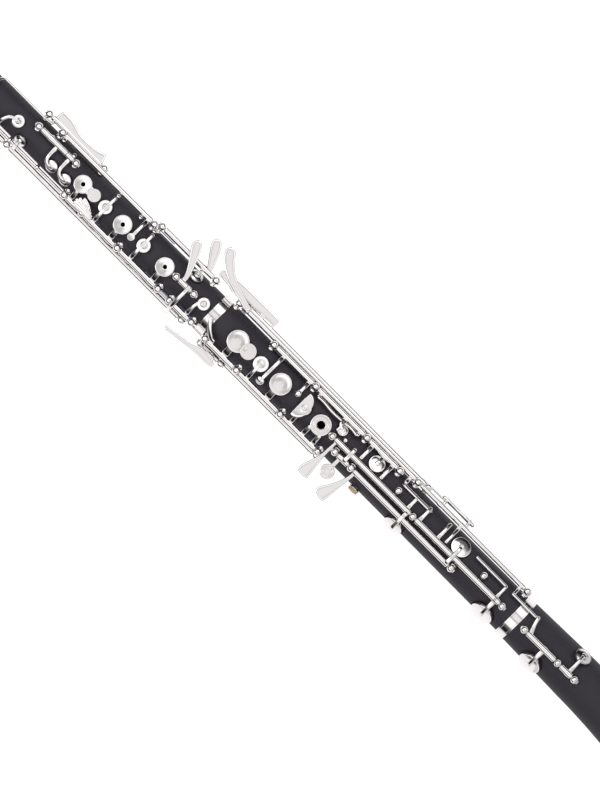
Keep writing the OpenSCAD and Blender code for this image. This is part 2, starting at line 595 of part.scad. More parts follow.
module e_key() key(ll, above(l0 + 173.4), below(l0 + 208.6),
    [[plate_pad(e_hole), open_gap, 0], [e_vent, open_gap, 0]]) {
    line_arm(ll, e_hole[0] - 14, l0 + 185.2);
    plate(e_hole, open_gap, ll);
    line_arm(ll, e_vent[0], e_vent[1]);
    cup(e_vent, open_gap, ll);
}
ring_hole_r = 2.4;
module d_key() key(ll, above(l0 + 143.2), below(l0 + 173.4),
    [[plate_pad(d_hole), open_gap, ring_hole_r], [moon, open_gap, 0]]) {
    line_arm(ll, d_hole[0] - 14, l0 + 149);
    line_arm(ll, d_hole[0] - 14, l0 + 156.4);
    plate(d_hole, open_gap, ll);
    line_arm(ll, moon[0], moon[1]);
    cup(moon, open_gap, ll);
    out(moon[0], moon[1], ll[1] - touch_t) intersection() {
        cylinder(h = touch_t - 0.2, r = 8);
        translate([-9, -3.5, 0]) cube([18, 7.6, touch_t]);
    }
}
module fork_key() key(ra, above(l0 + 170.2), below(l0 + 203.6),
    [[fork_vent, open_gap, 0]]) {
    line_arm(ra, fork_vent[0], fork_vent[1]);
    cup(fork_vent, open_gap, ra);
    line_arm(ra, 8, l0 + 174.4);
    out(8, l0 + 174.4, ra[1] - 1.8) cylinder(h = 2.6, r = 1.7);
}
module f_key() key(ra, above(l0 + 129), below(l0 + 170.2),
    [[f_hole, shut_gap, 0]]) {
    line_arm(ra, 12, l0 + 145.3, 2);
    rail(f_hole[0], f_hole[1], l0 + 146.2, ra[1] + arm_mid, 2);
    cup(f_hole, shut_gap, ra);
    line_arm(ra, 34, l0 + 134);
    line_arm(ra, 34, l0 + 165);
}
module left_f_link() key(ll3, above(l0 + 142), below(l0 + 230)) {
    line_arm(ll3, -122, l0 + 225);
    rail(-122, l0 + 224, u0 + 15, ll3[1] + arm_mid, 2);
    line_arm(ll3, -150, l0 + 148);
}
module eb_key() key(ra, above(l0 + 102.4), below(l0 + 129),
    [[eb_hole, shut_gap, 0]]) {
    line_arm(ra, 6, l0 + 123.4);
    line_arm(ra, eb_hole[0], eb_hole[1]);
    line_arm(ra, 6, l0 + 107.4);
    cup(eb_hole, shut_gap, ra);
}
module eb_lever() key(lc2, above(l0 + 123.4), below(l0 + 136.2)) {
    over_arm(lc2, 10, l0 + 129, lc2[1] + 0.6);
    y = spot(lc2, 0)[1];
    blade(y + 0.4, [[-6, l0 + 130.4], [-15, l0 + 130.4], [-15, l0 + 132.8], [-6, l0 + 132.8]]);
    translate([-17.4, y + 0.4, l0 + 131.6]) rotate([90, 0, 0]) cylinder(h = touch_t + 0.4, r = 3.4);
}
module c_key() key(lc1, above(l0 + 79.1), below(l0 + 143.5),
    [[c_hole, open_gap, 0]]) {
    over_arm(lc1, c_hole[0], c_hole[1], lc1[1] - 1);
    cup(c_hole, open_gap, lc1);
    blade(-lc1[1] + 0.3, [[-0.8, l0 + 138.7], [-12, l0 + 138.9], [-20, l0 + 137.6], [-28.4, l0 + 136.8],
        [-29.2, l0 + 141], [-28.4, l0 + 145.3], [-20, l0 + 142.8], [-12, l0 + 140.7],
        [-0.8, l0 + 140.3]]);
}
module c_sharp_key() key(lc2, above(l0 + 43.1), below(l0 + 123.4),
    [[cs_hole, shut_gap, 0]]) {
    over_arm(lc2, cs_hole[0], cs_hole[1], lc2[1] - 1);
    cup(cs_hole, shut_gap, lc2);
    blade(spot(lc2, 0)[1] + 0.4, [[-6, l0 + 118.6], [-17, l0 + 120], [-29.6, l0 + 121.4],
        [-31.4, l0 + 125.6], [-30.7, l0 + 129.9], [-24, l0 + 127], [-17, l0 + 123], [-8, l0 + 120.7],
        [-6, l0 + 120.7]]);
}
module b_key() key(lc1, above(l0 + 7.4), below(l0 + 79.1),
    [[b_hole, open_gap, 0]]) {
    line_arm(lc1, b_hole[0] + 8, b_hole[1]);
    cup(b_hole, open_gap, lc1);
    line_arm(lc1, 39, l0 + 75);
}
link_r = 1.4;
module bb_link() key(rb, above(l0 + 2.6), below(l0 + 90.4), [], link_r) {
    line_arm(rb, 100, l0 + 73);
    line_arm(rb, 31, l0 + 7.4);
    rail(31, bell_len - 5, l0 + 8.5, rb[1] + arm_mid + 0.1, 1.8, 1.2);
}

// Keys of the bell
module bb_key() key(bl, above(bell_len - 31.2), below(bell_len - 4.6),
    [[bb_hole, open_gap, 0]]) {
    line_arm(bl, 33, bell_len - 9);
    line_arm(bl, bb_hole[0] + 8, bb_hole[1]);
    cup(bb_hole, open_gap, bl);
}
module bell_vent_key() key(bl, above(bell_len - 44.6), below(bell_len - 31.2),
    [[bell_vent, open_gap, 0]]) {
    line_arm(bl, bell_vent[0], bell_vent[1]);
    cup(bell_vent, open_gap, bl);
}

// Fixed groups
all_posts = concat(upper_posts_at, lower_posts_at, bell_posts_at);
module posts() color("silver") for (p = all_posts) post(p[0], p[1]);
module hinge_rods() {
    rods(upper_posts_at, upper_runs);
    rods(lower_posts_at, lower_runs);
    rods(bell_posts_at, bell_runs);
}
module socket_sleeves() {
    middle_sleeve();
    bell_sleeve();
}
module tenon_corks() {
    upper_cork();
    lower_cork();
}
// Needle springs: [hinge line, height of the post, length with its direction]
spring_len = 12;
short_spring = 6;
springs_at = [
    [ul2, u0 + 149.6, spring_len], [ur2, u0 + 100.4, spring_len], [ul2, u0 + 8.6, spring_len],
    [uc1, u0 + 142.9, -spring_len], [uc1, u0 + 113.2, short_spring], [ur, u0 + 57.4, spring_len],
    [ul, u0 + 105.6, -spring_len], [ul, u0 + 91.4, -spring_len], [ul, u0 + 30.3, spring_len],
    [ul, u0 + 3.4, spring_len], [uc2, u0 + 13.4, short_spring], [ur3, u0 + 53.6, -spring_len],
    [rb, l0 + 90.4, spring_len], [rc, l0 + 229.6, -spring_len], [ll2, l0 + 217.6, short_spring],
    [ll, l0 + 208.6, spring_len], [ll, l0 + 173.4, spring_len], [ll, l0 + 143.2, spring_len],
    [ra, l0 + 203.6, -spring_len], [ra, l0 + 170.2, -spring_len], [ll3, l0 + 142, spring_len],
    [ra, l0 + 102.4, short_spring], [lc2, l0 + 123.4, short_spring], [lc1, l0 + 79.1, spring_len],
    [lc2, l0 + 43.1, spring_len], [lc1, l0 + 7.4, spring_len], [rb, l0 + 2.6, spring_len],
    [bl, bell_len - 4.6, -spring_len], [bl, bell_len - 44.6, short_spring]];
module needle_springs() for (s = springs_at)
    spring(s[0], s[1] + 0.4 * sign(s[2]), s[1] + s[2]);

// Pads
module thumb_octave_pad() pad(octave_1, shut_gap);
module side_octave_pad() pad(octave_2, shut_gap);
module side_trill_pad() pad(b_trill, shut_gap);
module trill_pad() pad(d_trill_1, shut_gap);
module half_hole_pad() pad(plate_pad(half_hole), open_gap, vent_r);
module a_pads() {
    pad(plate_pad(a_hole), open_gap, vent_r);
    pad(c_vent, open_gap);
}
module g_pads() {
    pad(plate_pad(g_hole), open_gap, vent_r);
    pad(g_vent, open_gap);
}
module bridge_pad() pad(f_vent, open_gap);
module g_sharp_pad() pad(gs_hole, shut_gap);
module f_sharp_pad() pad(plate_pad(fs_hole), open_gap);
module e_pads() {
    pad(plate_pad(e_hole), open_gap);
    pad(e_vent, open_gap);
}
module d_pads() {
    pad(plate_pad(d_hole), open_gap, ring_hole_r);
    pad(moon, open_gap);
}
module f_pad() pad(f_hole, shut_gap);
module eb_pad() pad(eb_hole, shut_gap);
module c_pad() pad(c_hole, open_gap);
module c_sharp_pad() pad(cs_hole, shut_gap);
module b_pad() pad(b_hole, open_gap);
module bb_pad() pad(bb_hole, open_gap);

upper_joint();
lower_joint();
bell();
middle_ring();
bell_ring();
socket_sleeves();
reed_socket();
tenon_corks();
posts();
hinge_rods();
needle_springs();
thumb_rest();
thumb_rest_screws();
thumb_octave_key();
thumb_octave_pad();
side_octave_key();
side_octave_pad();
side_trill_key();
side_trill_pad();
c_trill_key();
trill_pad();
d_trill_key();
trill_lever();
half_hole_key();
half_hole_pad();
a_key();
a_pads();
g_key();
g_pads();
bridge_key();
bridge_pad();
left_f_lever();
g_sharp_key();
g_sharp_pad();
b_lever();
bb_lever();
side_trill_touch();
f_sharp_key();
f_sharp_pad();
e_key();
e_pads();
d_key();
d_pads();
fork_key();
f_key();
f_pad();
left_f_link();
eb_key();
eb_pad();
eb_lever();
c_key();
c_pad();
c_sharp_key();
c_sharp_pad();
b_key();
b_pad();
bb_link();
bb_key();
bb_pad();
bell_vent_key();
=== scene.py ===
"""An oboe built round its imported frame: turned wooden joints, silver-plated keywork, studio light and camera.

The instrument's lengths are millimetres in the frame's axes: +Z up the bore, keys facing -Y. They become
metres only where a mesh is written. A place on the body is an angle from the front in degrees and a height.
The studio's lengths are metres.
"""
import json
import logging
import math
from dataclasses import dataclass, field
from enum import Enum
from typing import Any

import bmesh
import bpy
import numpy as np
from mathutils import Matrix, Vector


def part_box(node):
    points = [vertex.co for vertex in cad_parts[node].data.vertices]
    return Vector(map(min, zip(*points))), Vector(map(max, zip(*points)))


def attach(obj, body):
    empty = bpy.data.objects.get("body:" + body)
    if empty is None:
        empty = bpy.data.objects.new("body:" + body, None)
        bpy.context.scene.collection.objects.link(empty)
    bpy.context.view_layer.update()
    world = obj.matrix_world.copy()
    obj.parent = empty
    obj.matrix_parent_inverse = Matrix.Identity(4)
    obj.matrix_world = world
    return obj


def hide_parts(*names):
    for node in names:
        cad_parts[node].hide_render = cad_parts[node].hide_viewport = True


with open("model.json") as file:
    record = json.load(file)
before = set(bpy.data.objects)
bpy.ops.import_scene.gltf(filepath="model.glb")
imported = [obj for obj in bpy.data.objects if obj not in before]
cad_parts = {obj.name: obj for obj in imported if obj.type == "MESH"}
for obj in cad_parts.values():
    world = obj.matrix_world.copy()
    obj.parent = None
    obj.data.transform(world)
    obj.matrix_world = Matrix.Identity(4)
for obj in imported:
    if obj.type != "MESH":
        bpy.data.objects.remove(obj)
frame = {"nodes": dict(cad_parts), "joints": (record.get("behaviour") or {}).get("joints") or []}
LOG = logging.getLogger("oboe")
MM = 0.001
Surface = tuple[np.ndarray, list[np.ndarray]]


# ---------------------------------------------------------------- measures taken from the frame
def node_box(name: str) -> tuple[np.ndarray, np.ndarray]:
    """Gives a node's lowest and highest corner.

    Args:
        name: The CAD node.

    Returns:
        Two arrays of three millimetre values.
    """
    low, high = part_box(name)
    return np.array(low) / MM, np.array(high) / MM


def hinge_line(joint: str) -> "Line":
    """Reads a hinge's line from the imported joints.

    Args:
        joint: Name of the moving body, whose joint has the same name with _hinge added.

    Returns:
        The line as an angle from the front and a distance from the bore's axis.
    """
    found = next(j for j in frame["joints"] if j["name"] == joint + "_hinge")
    x, y = found["pos_m"][0] / MM, found["pos_m"][1] / MM
    return Line(math.degrees(math.atan2(x, -y)), math.hypot(x, y))


@dataclass(frozen=True)
class Line:
    """A line parallel to the bore: angle from the front in degrees, and distance from the axis."""

    angle: float
    out: float

    def at(self, z: float) -> np.ndarray:
        """Gives the point of the line at a height."""
        a = math.radians(self.angle)
        return np.array([self.out * math.sin(a), -self.out * math.cos(a), z])


@dataclass(frozen=True)
class Sizes:
    """Sizes that the whole instrument shares, in millimetres; a drop is how far in from the tube's axis."""

    tube: float = 1.7
    rod: float = 0.9
    rod_play: float = 0.08
    ball: float = 2.3
    ball_play: float = 0.3
    ball_flat: float = 2.02
    arm_w: float = 2.3
    arm_t: float = 1.35
    arm_root: float = 1.35
    arm_drop: float = 0.6
    over_rise: float = 1.8
    root_flare: float = 0.5
    collar_proud: float = 0.22
    collar_share: float = 0.62
    collar_ease: float = 0.15
    bar_t: float = 1.3
    touch_t: float = 1.3
    touch_drop: float = 0.85
    cup_tall: float = 2.1
    cup_roof: float = 1.38
    cup_wall: float = 0.45
    boss_drop: float = 0.9
    plate_drop: float = 0.2
    plate_cup: float = 0.76
    pad_top: float = 1.36
    seat_margin: float = 0.5
    open_gap: float = 1.6
    shut_gap: float = 0.15


SIZE = Sizes()
BELL_TOP = node_box("bell")[1][2]
L0 = node_box("bell_ring")[1][2]
U0 = node_box("middle_ring")[1][2]
TOP = node_box("reed_socket")[1][2]
CROWN = 20.0
UPPER_R = (11.8, 10.0)
LOWER_R = (13.2, 12.5)
BELL_R = (13.9, 1.1, 45.0)
SHARP_TURNED, SHARP_CAD, EASED_OVER = (math.radians(degrees) for degrees in (42, 35, 50))
MERGE_M = 1e-6
FLAT = math.radians(0.05)


def wood_radius(z: float) -> float:
    """Gives the radius of the wood at a height: a straight taper on each joint.

    Args:
        z: Height in the frame.

    Returns:
        The radius in millimetres.
    """
    if z > U0:
        return UPPER_R[0] + (UPPER_R[1] - UPPER_R[0]) * (z - U0) / (TOP - CROWN - U0)
    if z > L0:
        return LOWER_R[0] + (LOWER_R[1] - LOWER_R[0]) * (z - L0) / (U0 - L0)
    return BELL_R[0] + BELL_R[1] * (BELL_TOP - z) / BELL_R[2]


# ---------------------------------------------------------------- surfaces
def grid_faces(rows: int, cols: int, close_rows: bool = False) -> np.ndarray:
    """Numbers the quads of a grid whose columns are closed into a loop.

    Args:
        rows: Stations along the surface.
        cols: Points round each station.
        close_rows: True when the last station joins the first.

    Returns:
        An array of quads.
    """
    i = np.arange(rows if close_rows else rows - 1)[:, None]
    j = np.arange(cols)[None, :]
    n, k = (i + 1) % rows, (j + 1) % cols
    quads = np.stack([i * cols + j, i * cols + k, n * cols + k, n * cols + j], axis=-1)
    return quads.reshape(-1, 4)


def outward(points: np.ndarray, faces: list[np.ndarray]) -> list[np.ndarray]:
    """Turns a closed surface's faces outwards, by the sign of the volume that they enclose.

    Args:
        points: The surface's points.
        faces: Its groups of faces.

    Returns:
        The groups, all reversed if they enclosed a negative volume.
    """
    total = 0.0
    for group in faces:
        a = points[group[:, 0]]
        for k in range(1, group.shape[1] - 1):
            total += float(np.einsum("ij,ij->", a, np.cross(points[group[:, k]], points[group[:, k + 1]])))
    return faces if total > 0 else [group[:, ::-1] for group in faces]


def closed_tube(stations: np.ndarray, first: np.ndarray, last: np.ndarray) -> Surface:
    """Closes a stack of loops with one pole at each end.

    Args:
        stations: Array of loops, rows by columns by 3.
        first: Pole before the first loop.
        last: Pole after the last loop.

    Returns:
        Points and groups of faces.
    """
    rows, cols = stations.shape[:2]
    points = np.vstack([stations.reshape(-1, 3), first, last])
    j = np.arange(cols)
    k = (j + 1) % cols
    head = np.stack([np.full(cols, rows * cols), k, j], axis=-1)
    base = (rows - 1) * cols
    tail = np.stack([np.full(cols, rows * cols + 1), base + j, base + k], axis=-1)
    return points, outward(points, [grid_faces(rows, cols), np.vstack([head, tail])])


def spot_frame(angle: float, z: float, out: float = 0.0) -> tuple[np.ndarray, np.ndarray]:
    """Makes the local frame at a place over the body.

    Args:
        angle: Degrees from the front.
        z: Height.
        out: Distance from the bore's axis.

    Returns:
        The origin, and the three axes as rows: across, up the bore, and away from the bore.
    """
    a = math.radians(angle)
    away = np.array([math.sin(a), -math.cos(a), 0.0])
    across = np.array([math.cos(a), math.sin(a), 0.0])
    return away * out + [0, 0, z], np.array([across, [0, 0, 1.0], away])


def turned(profile: list[tuple[float, float]], origin: np.ndarray, axes: np.ndarray, n: int = 48) -> Surface:
    """Revolves a profile about the local third axis: point(u, v) = radius(u) at angle v, height(u).

    Args:
        profile: (radius, height) pairs, from the axis back to the axis or round a closed ring.
        origin: Local origin.
        axes: Local axes as rows.
        n: Points round the turn.

    Returns:
        A closed surface.
    """
    rz = np.array(profile, dtype=float)
    v = np.linspace(0, 2 * math.pi, n, endpoint=False)
    solid = rz[0, 0] < 1e-6
    body = rz[1:-1] if solid else rz
    local = np.stack([body[:, :1] * np.cos(v), body[:, :1] * np.sin(v),
                      np.repeat(body[:, 1:], n, axis=1)], axis=-1)
    world = origin + local @ axes
    if solid:
        return closed_tube(world, origin + axes[2] * rz[0, 1], origin + axes[2] * rz[-1, 1])
    points = world.reshape(-1, 3)
    return points, outward(points, [grid_faces(len(body), n, True)])


def round_line(profile: list[tuple[float, float]], line: Line, n: int = 28) -> Surface:
    """Revolves a profile about a line along the bore; the profile's heights are the frame's own."""
    return turned(profile, line.at(0.0), np.eye(3), n)


def rounded(profile: list[tuple[float, float]], radius: float, steps: int = 4) -> list[tuple[float, float]]:
    """Rounds the inner corners of an open profile with a quadratic arc of the given reach.

    Args:
        profile: (radius, height) pairs.
        radius: How far along each side the rounding starts.
        steps: Points on each arc.

    Returns:
        The rounded profile.
    """
    p = np.array(profile, dtype=float)
    made = [p[:1]]
    t = np.linspace(0, 1, steps)[:, None]
    for a, b, c in zip(p[:-2], p[1:-1], p[2:]):
        back, on = a - b, c - b
        la, lc = np.linalg.norm(back), np.linalg.norm(on)
        q0 = b + back / la * min(radius, la * 0.45)
        q1 = b + on / lc * min(radius, lc * 0.45)
        made.append((1 - t) ** 2 * q0 + 2 * t * (1 - t) * b + t ** 2 * q1)
    made.append(p[-1:])
    return [tuple(row) for row in np.vstack(made)]


def smooth_path(points: np.ndarray, n: int) -> np.ndarray:
    """Passes a Catmull-Rom curve through rows of values, spaced evenly along it.

    Args:
        points: Control rows, of any width; the first three columns are a place.
        n: Rows wanted.

    Returns:
        The rows along the curve.
    """
    p = np.vstack([2 * points[0] - points[1], points, 2 * points[-1] - points[-2]])
    fine = np.linspace(0, len(points) - 1, 200, endpoint=True)
    i = np.minimum(fine.astype(int), len(points) - 2)
    t = (fine - i)[:, None]
    a, b, c, d = p[i], p[i + 1], p[i + 2], p[i + 3]
    curve = 0.5 * (2 * b + (c - a) * t + (2 * a - 5 * b + 4 * c - d) * t ** 2
                   + (3 * b - a - 3 * c + d) * t ** 3)
    run = np.concatenate([[0], np.cumsum(np.linalg.norm(np.diff(curve[:, :3], axis=0), axis=1))])
    want = np.linspace(0, run[-1], n)
    return np.stack([np.interp(want, run, curve[:, k]) for k in range(curve.shape[1])], axis=-1)


def ribbon(control: list[tuple[float, ...]], up: tuple[float, float, float] | None = None,
           n: int = 40, around: int = 20, power: float = 2.6, cap: float = 1.0) -> Surface:
    """Carries a superellipse along a smooth path and rounds both ends.

    The section at each station is width * |cos|^(2/p) across and thickness * |sin|^(2/p) along the up
    direction. Near an end both shrink as the side of an ellipse does.

    Args:
        control: Rows of (x, y, z, width, thickness).
        up: Thickness direction, or None for away from the bore's axis.
        n: Stations along the path.
        around: Points round the section.
        power: Squareness of the section; 2 is an ellipse.
        cap: Length of the rounded end, as a share of the half width there.

    Returns:
        A closed surface.
    """
    rows = smooth_path(np.array(control, dtype=float), n)
    length = np.linalg.norm(np.diff(rows[:, :3], axis=0), axis=1).sum()
    reach = np.array([rows[0, 3], rows[-1, 3]]) / 2 * cap + 1e-3
    ends = np.minimum(reach / length, 0.45)
    lead = 1 - np.cos(np.linspace(0, math.pi / 2, 7))
    middle = np.linspace(ends[0], 1 - ends[1], n)[1:-1]
    u = np.concatenate([lead * ends[0], middle, (1 - lead * ends[1])[::-1]])
    even = np.linspace(0, 1, n)
    rows = np.stack([np.interp(u, even, rows[:, k]) for k in range(5)], axis=-1)
    near = np.minimum(np.minimum(u / ends[0], (1 - u) / ends[1]), 1.0)
    shrink = np.sqrt(np.clip(1 - (1 - near) ** 2, 0, 1))
    place = rows[:, :3]
    along = np.gradient(place, axis=0)
    along /= np.linalg.norm(along, axis=1)[:, None] + 1e-12
    if up is None:
        lift = place * [1.0, 1.0, 0.0]
    else:
        lift = np.tile(np.array(up, dtype=float), (len(u), 1))
    lift = lift - along * np.sum(lift * along, axis=1)[:, None]
    lift /= np.linalg.norm(lift, axis=1)[:, None] + 1e-12
    side = np.cross(along, lift)
    v = np.linspace(0, 2 * math.pi, around, endpoint=False)
    cx = np.sign(np.cos(v)) * np.abs(np.cos(v)) ** (2 / power)
    cy = np.sign(np.sin(v)) * np.abs(np.sin(v)) ** (2 / power)
    w = (rows[:, 3] / 2 * shrink)[1:-1, None, None]
    t = (rows[:, 4] / 2 * np.maximum(shrink, 0.25))[1:-1, None, None]
    loops = (place[1:-1, None] + side[1:-1, None] * w * cx[None, :, None]
             + lift[1:-1, None] * t * cy[None, :, None])
    return closed_tube(loops, place[0], place[-1])


def arc_rows(angle_0: float, angle_1: float, z_0: float, z_1: float, out_0: float, out_1: float,
             w: tuple[float, float], t: float, sway: float = 0.0) -> list[tuple[float, ...]]:
    """Lays control rows on an arc round the bore: angle, height and distance all vary evenly.

    Args:
        angle_0: Angle at the start, in degrees from the front.
        angle_1: Angle at the end.
        z_0: Height at the start.
        z_1: Height at the end.
        out_0: Distance from the axis at the start.
        out_1: Distance from the axis at the end.
        w: Widths at the two ends.
        t: Thickness.
        sway: Height added in mid-arc, which bows the arm.

    Returns:
        Control rows for a ribbon.
    """
    waist = 0.35
    f = np.linspace(0, 1, 7)
    a = np.radians(angle_0 + (angle_1 - angle_0) * f)
    out = out_0 + (out_1 - out_0) * f
    z = z_0 + (z_1 - z_0) * f + sway * np.sin(math.pi * f)
    width = w[0] + (w[1] - w[0]) * f - waist * np.sin(math.pi * f)
    rows = np.stack([out * np.sin(a), -out * np.cos(a), z, width, np.full(len(f), t)], axis=-1)
    return [tuple(row) for row in rows]


# ---------------------------------------------------------------- meshes
def join(parts: list[Surface]) -> Surface:
    """Puts several closed surfaces into one list of points and one list of face groups.

    Args:
        parts: The surfaces.

    Returns:
        One surface, whose faces count its points from the first part's.
    """
    points, faces, base = [], [], 0
    for p, groups in parts:
        points.append(p)
        faces += [group + base for group in groups]
        base += len(p)
    return np.vstack(points), faces


def write_mesh(name: str, surface: Surface) -> bpy.types.Mesh:
    """Writes a surface into a new mesh, in metres.

    Args:
        name: The mesh's name.
        surface: Points in millimetres, and groups of faces.

    Returns:
        The mesh.
    """
    points, groups = surface
    mesh = bpy.data.meshes.new(name)
    mesh.from_pydata((points * MM).tolist(), [], [face for group in groups for face in group.tolist()])
    return mesh


def smooth(mesh: bpy.types.Mesh, sharp: float) -> None:
    """Shades a mesh smoothly, except over edges that turn by more than an angle.

    Args:
        mesh: The mesh.
        sharp: The angle in radians.
    """
    mesh.polygons.foreach_set("use_smooth", np.ones(len(mesh.polygons), dtype=bool))
    mesh.set_sharp_from_angle(angle=sharp)
    mesh.update()


def place_mesh(mesh: bpy.types.Mesh) -> bpy.types.Object:
    """Puts a mesh into the scene, as an object of its own name at the origin.

    Args:
        mesh: The mesh.

    Returns:
        The object.
    """
    made = bpy.data.objects.new(mesh.name, mesh)
    bpy.context.scene.collection.objects.link(made)
    return made


def carry(piece: bpy.types.Object, body: str, stands_for: tuple[str, ...]) -> None:
    """Tells the frame which body carries a piece and what it replaces.

    Args:
        piece: The piece.
        body: The body that it rides on.
        stands_for: CAD nodes that it replaces, if any.
    """
    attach(piece, body)
    if stands_for:
        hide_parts(*stands_for)


def make_piece(name: str, parts: list[Surface], body: str, finish: "Finish",
               stands_for: tuple[str, ...] = ()) -> None:
    """Writes surfaces into one object that rides on a body.

    Args:
        name: The piece's name.
        parts: Closed surfaces in millimetres.
        body: The body that carries it.
        finish: The finish that dresses it.
        stands_for: CAD nodes that it replaces.
    """
    mesh = write_mesh(name, join(parts))
    smooth(mesh, SHARP_TURNED)
    mesh.materials.append(finish.material())
    carry(place_mesh(mesh), body, stands_for)
    LOG.info("%s: %d faces on %s", name, len(mesh.polygons), body)


# ---------------------------------------------------------------- finishes
WOOD_SPECULAR = 0.2
SKIN_SHEEN = 0.2
BUMP_DEPTH_M = 0.00006
FINE_NOISE = (9.0, 6.0)
WIDE_NOISE = (1.3, 4.0)
STREAK_RANGE = (0.42, 0.72)
WIDE_SHARE = 0.4


def find_node(tree: bpy.types.NodeTree, kind: str) -> bpy.types.Node:
    """Finds the first node of a kind in a tree."""
    return next(n for n in tree.nodes if n.type == kind)


def wire(tree: bpy.types.NodeTree,
         *joins: tuple[bpy.types.Node, str | int, bpy.types.Node, str | int]) -> None:
    """Links sockets: each row gives a node, its output, the next node and its input."""
    for source, output, target, entry in joins:
        tree.links.new(source.outputs[output], target.inputs[entry])


def split_view(tree: bpy.types.NodeTree, real: bpy.types.Node, shown: bpy.types.Node, end: str) -> None:
    """Joins two shader nodes so that the lens sees one and the rest of the scene the other.

    Args:
        tree: The tree of both nodes.
        real: What lights and reflections meet.
        shown: What the lens meets.
        end: Kind of the tree's output node.
    """
    seen, choose = tree.nodes.new("ShaderNodeLightPath"), tree.nodes.new("ShaderNodeMixShader")
    wire(tree, (seen, "Is Camera Ray", choose, "Fac"), (real, 0, choose, 1), (shown, 0, choose, 2),
         (choose, "Shader", find_node(tree, end), "Surface"))


class Look(Enum):
    """The kinds of finish on the instrument and its stage."""

    WOOD = "wood"
    PLATE = "plate"
    STEEL = "steel"
    CORK = "cork"
    SKIN = "skin"
    FLOOR = "floor"


@dataclass(frozen=True)
class Finish:
    """A procedural finish: two tones that a mask blends, a range of roughness, and its detail's fineness."""

    name: str
    look: Look
    slot: str
    tone: tuple[float, float, float]
    worn: tuple[float, float, float]
    rough: tuple[float, float]
    grain: float
    bump: float
    metallic: float = 0.0
    stretch: tuple[float, float, float] = (1.0, 1.0, 1.0)

    def material(self) -> bpy.types.Material:
        """Gives the material, and builds it the first time.

        Returns:
            The material with its nodes.
        """
        found = bpy.data.materials.get(self.name)
        return found if found else self.build()

    def build(self) -> bpy.types.Material:
        """Builds the nodes: object coordinates to the shared wear group, and its masks to the shader.

        Returns:
            The new material.
        """
        made = bpy.data.materials.new(self.name)
        made.use_nodes = True
        tree = made.node_tree
        shader = find_node(tree, "BSDF_PRINCIPLED")
        shader.inputs["Metallic"].default_value = self.metallic
        if self.look is Look.WOOD:
            shader.inputs["Specular IOR Level"].default_value = WOOD_SPECULAR
        if self.look is Look.SKIN:
            shader.inputs["Sheen Weight"].default_value = SKIN_SHEEN
        coords = tree.nodes.new("ShaderNodeTexCoord")
        scale = tree.nodes.new("ShaderNodeMapping")
        scale.inputs["Scale"].default_value = tuple(self.grain * s for s in self.stretch)
        wear = tree.nodes.new("ShaderNodeGroup")
        wear.node_tree = wear_group()
        blend = tree.nodes.new("ShaderNodeMix")
        blend.data_type = "RGBA"
        blend.inputs["A"].default_value = (*self.tone, 1)
        blend.inputs["B"].default_value = (*self.worn, 1)
        rough = tree.nodes.new("ShaderNodeMapRange")
        rough.inputs["To Min"].default_value, rough.inputs["To Max"].default_value = self.rough
        bump = tree.nodes.new("ShaderNodeBump")
        bump.inputs["Strength"].default_value = self.bump
        bump.inputs["Distance"].default_value = BUMP_DEPTH_M
        wire(tree, (coords, "Object", scale, "Vector"), (scale, "Vector", wear, "Place"),
             (wear, "Streaks", blend, "Factor"), (blend, "Result", shader, "Base Color"),
             (wear, "Clouds", rough, "Value"), (rough, "Result", shader, "Roughness"),
             (wear, "Height", bump, "Height"), (bump, "Normal", shader, "Normal"))
        return made


def wear_group() -> bpy.types.NodeTree:
    """Makes the shared group that turns a place into streaks, clouds and a height for bumps.

    Returns:
        The node group.
    """
    found = bpy.data.node_groups.get("wear")
    if found:
        return found
    group = bpy.data.node_groups.new("wear", "ShaderNodeTree")
    group.interface.new_socket("Place", in_out="INPUT", socket_type="NodeSocketVector")
    for name in ("Streaks", "Clouds", "Height"):
        group.interface.new_socket(name, in_out="OUTPUT", socket_type="NodeSocketFloat")
    take = group.nodes.new("NodeGroupInput")
    give = group.nodes.new("NodeGroupOutput")
    fine, wide = group.nodes.new("ShaderNodeTexNoise"), group.nodes.new("ShaderNodeTexNoise")
    fine.inputs["Scale"].default_value, fine.inputs["Detail"].default_value = FINE_NOISE
    wide.inputs["Scale"].default_value, wide.inputs["Detail"].default_value = WIDE_NOISE
    streaks = group.nodes.new("ShaderNodeMapRange")
    streaks.inputs["From Min"].default_value, streaks.inputs["From Max"].default_value = STREAK_RANGE
    height = group.nodes.new("ShaderNodeMath")
    height.operation = "MULTIPLY_ADD"
    height.inputs[1].default_value = WIDE_SHARE
    wire(group, (take, "Place", fine, "Vector"), (take, "Place", wide, "Vector"),
         (fine, "Fac", streaks, "Value"), (streaks, "Result", give, "Streaks"), (wide, "Fac", give, "Clouds"),
         (wide, "Fac", height, 0), (fine, "Fac", height, 2), (height, "Value", give, "Height"))
    return group


WOOD = Finish("grenadilla", Look.WOOD, "grenadilla", (0.0032, 0.0027, 0.0045), (0.0098, 0.0075, 0.0096),
              (0.3, 0.5), 420, 0.4, stretch=(1.0, 1.0, 0.06))
PLATE = Finish("silver_plate", Look.PLATE, "silver_plate", (0.94, 0.905, 0.89), (0.87, 0.815, 0.79),
               (0.04, 0.13), 160, 0.02, metallic=1.0)
ROD = Finish("rod_steel", Look.STEEL, "rod_steel", (0.66, 0.66, 0.67), (0.5, 0.49, 0.49),
             (0.16, 0.32), 300, 0.1, metallic=1.0)
SPRING = Finish("blued_steel", Look.STEEL, "spring_steel", (0.12, 0.15, 0.27), (0.2, 0.16, 0.2),
                (0.2, 0.34), 500, 0.1, metallic=1.0)
CORK = Finish("cork", Look.CORK, "cork", (0.56, 0.37, 0.21), (0.28, 0.16, 0.08), (0.7, 0.95), 260, 1.0)
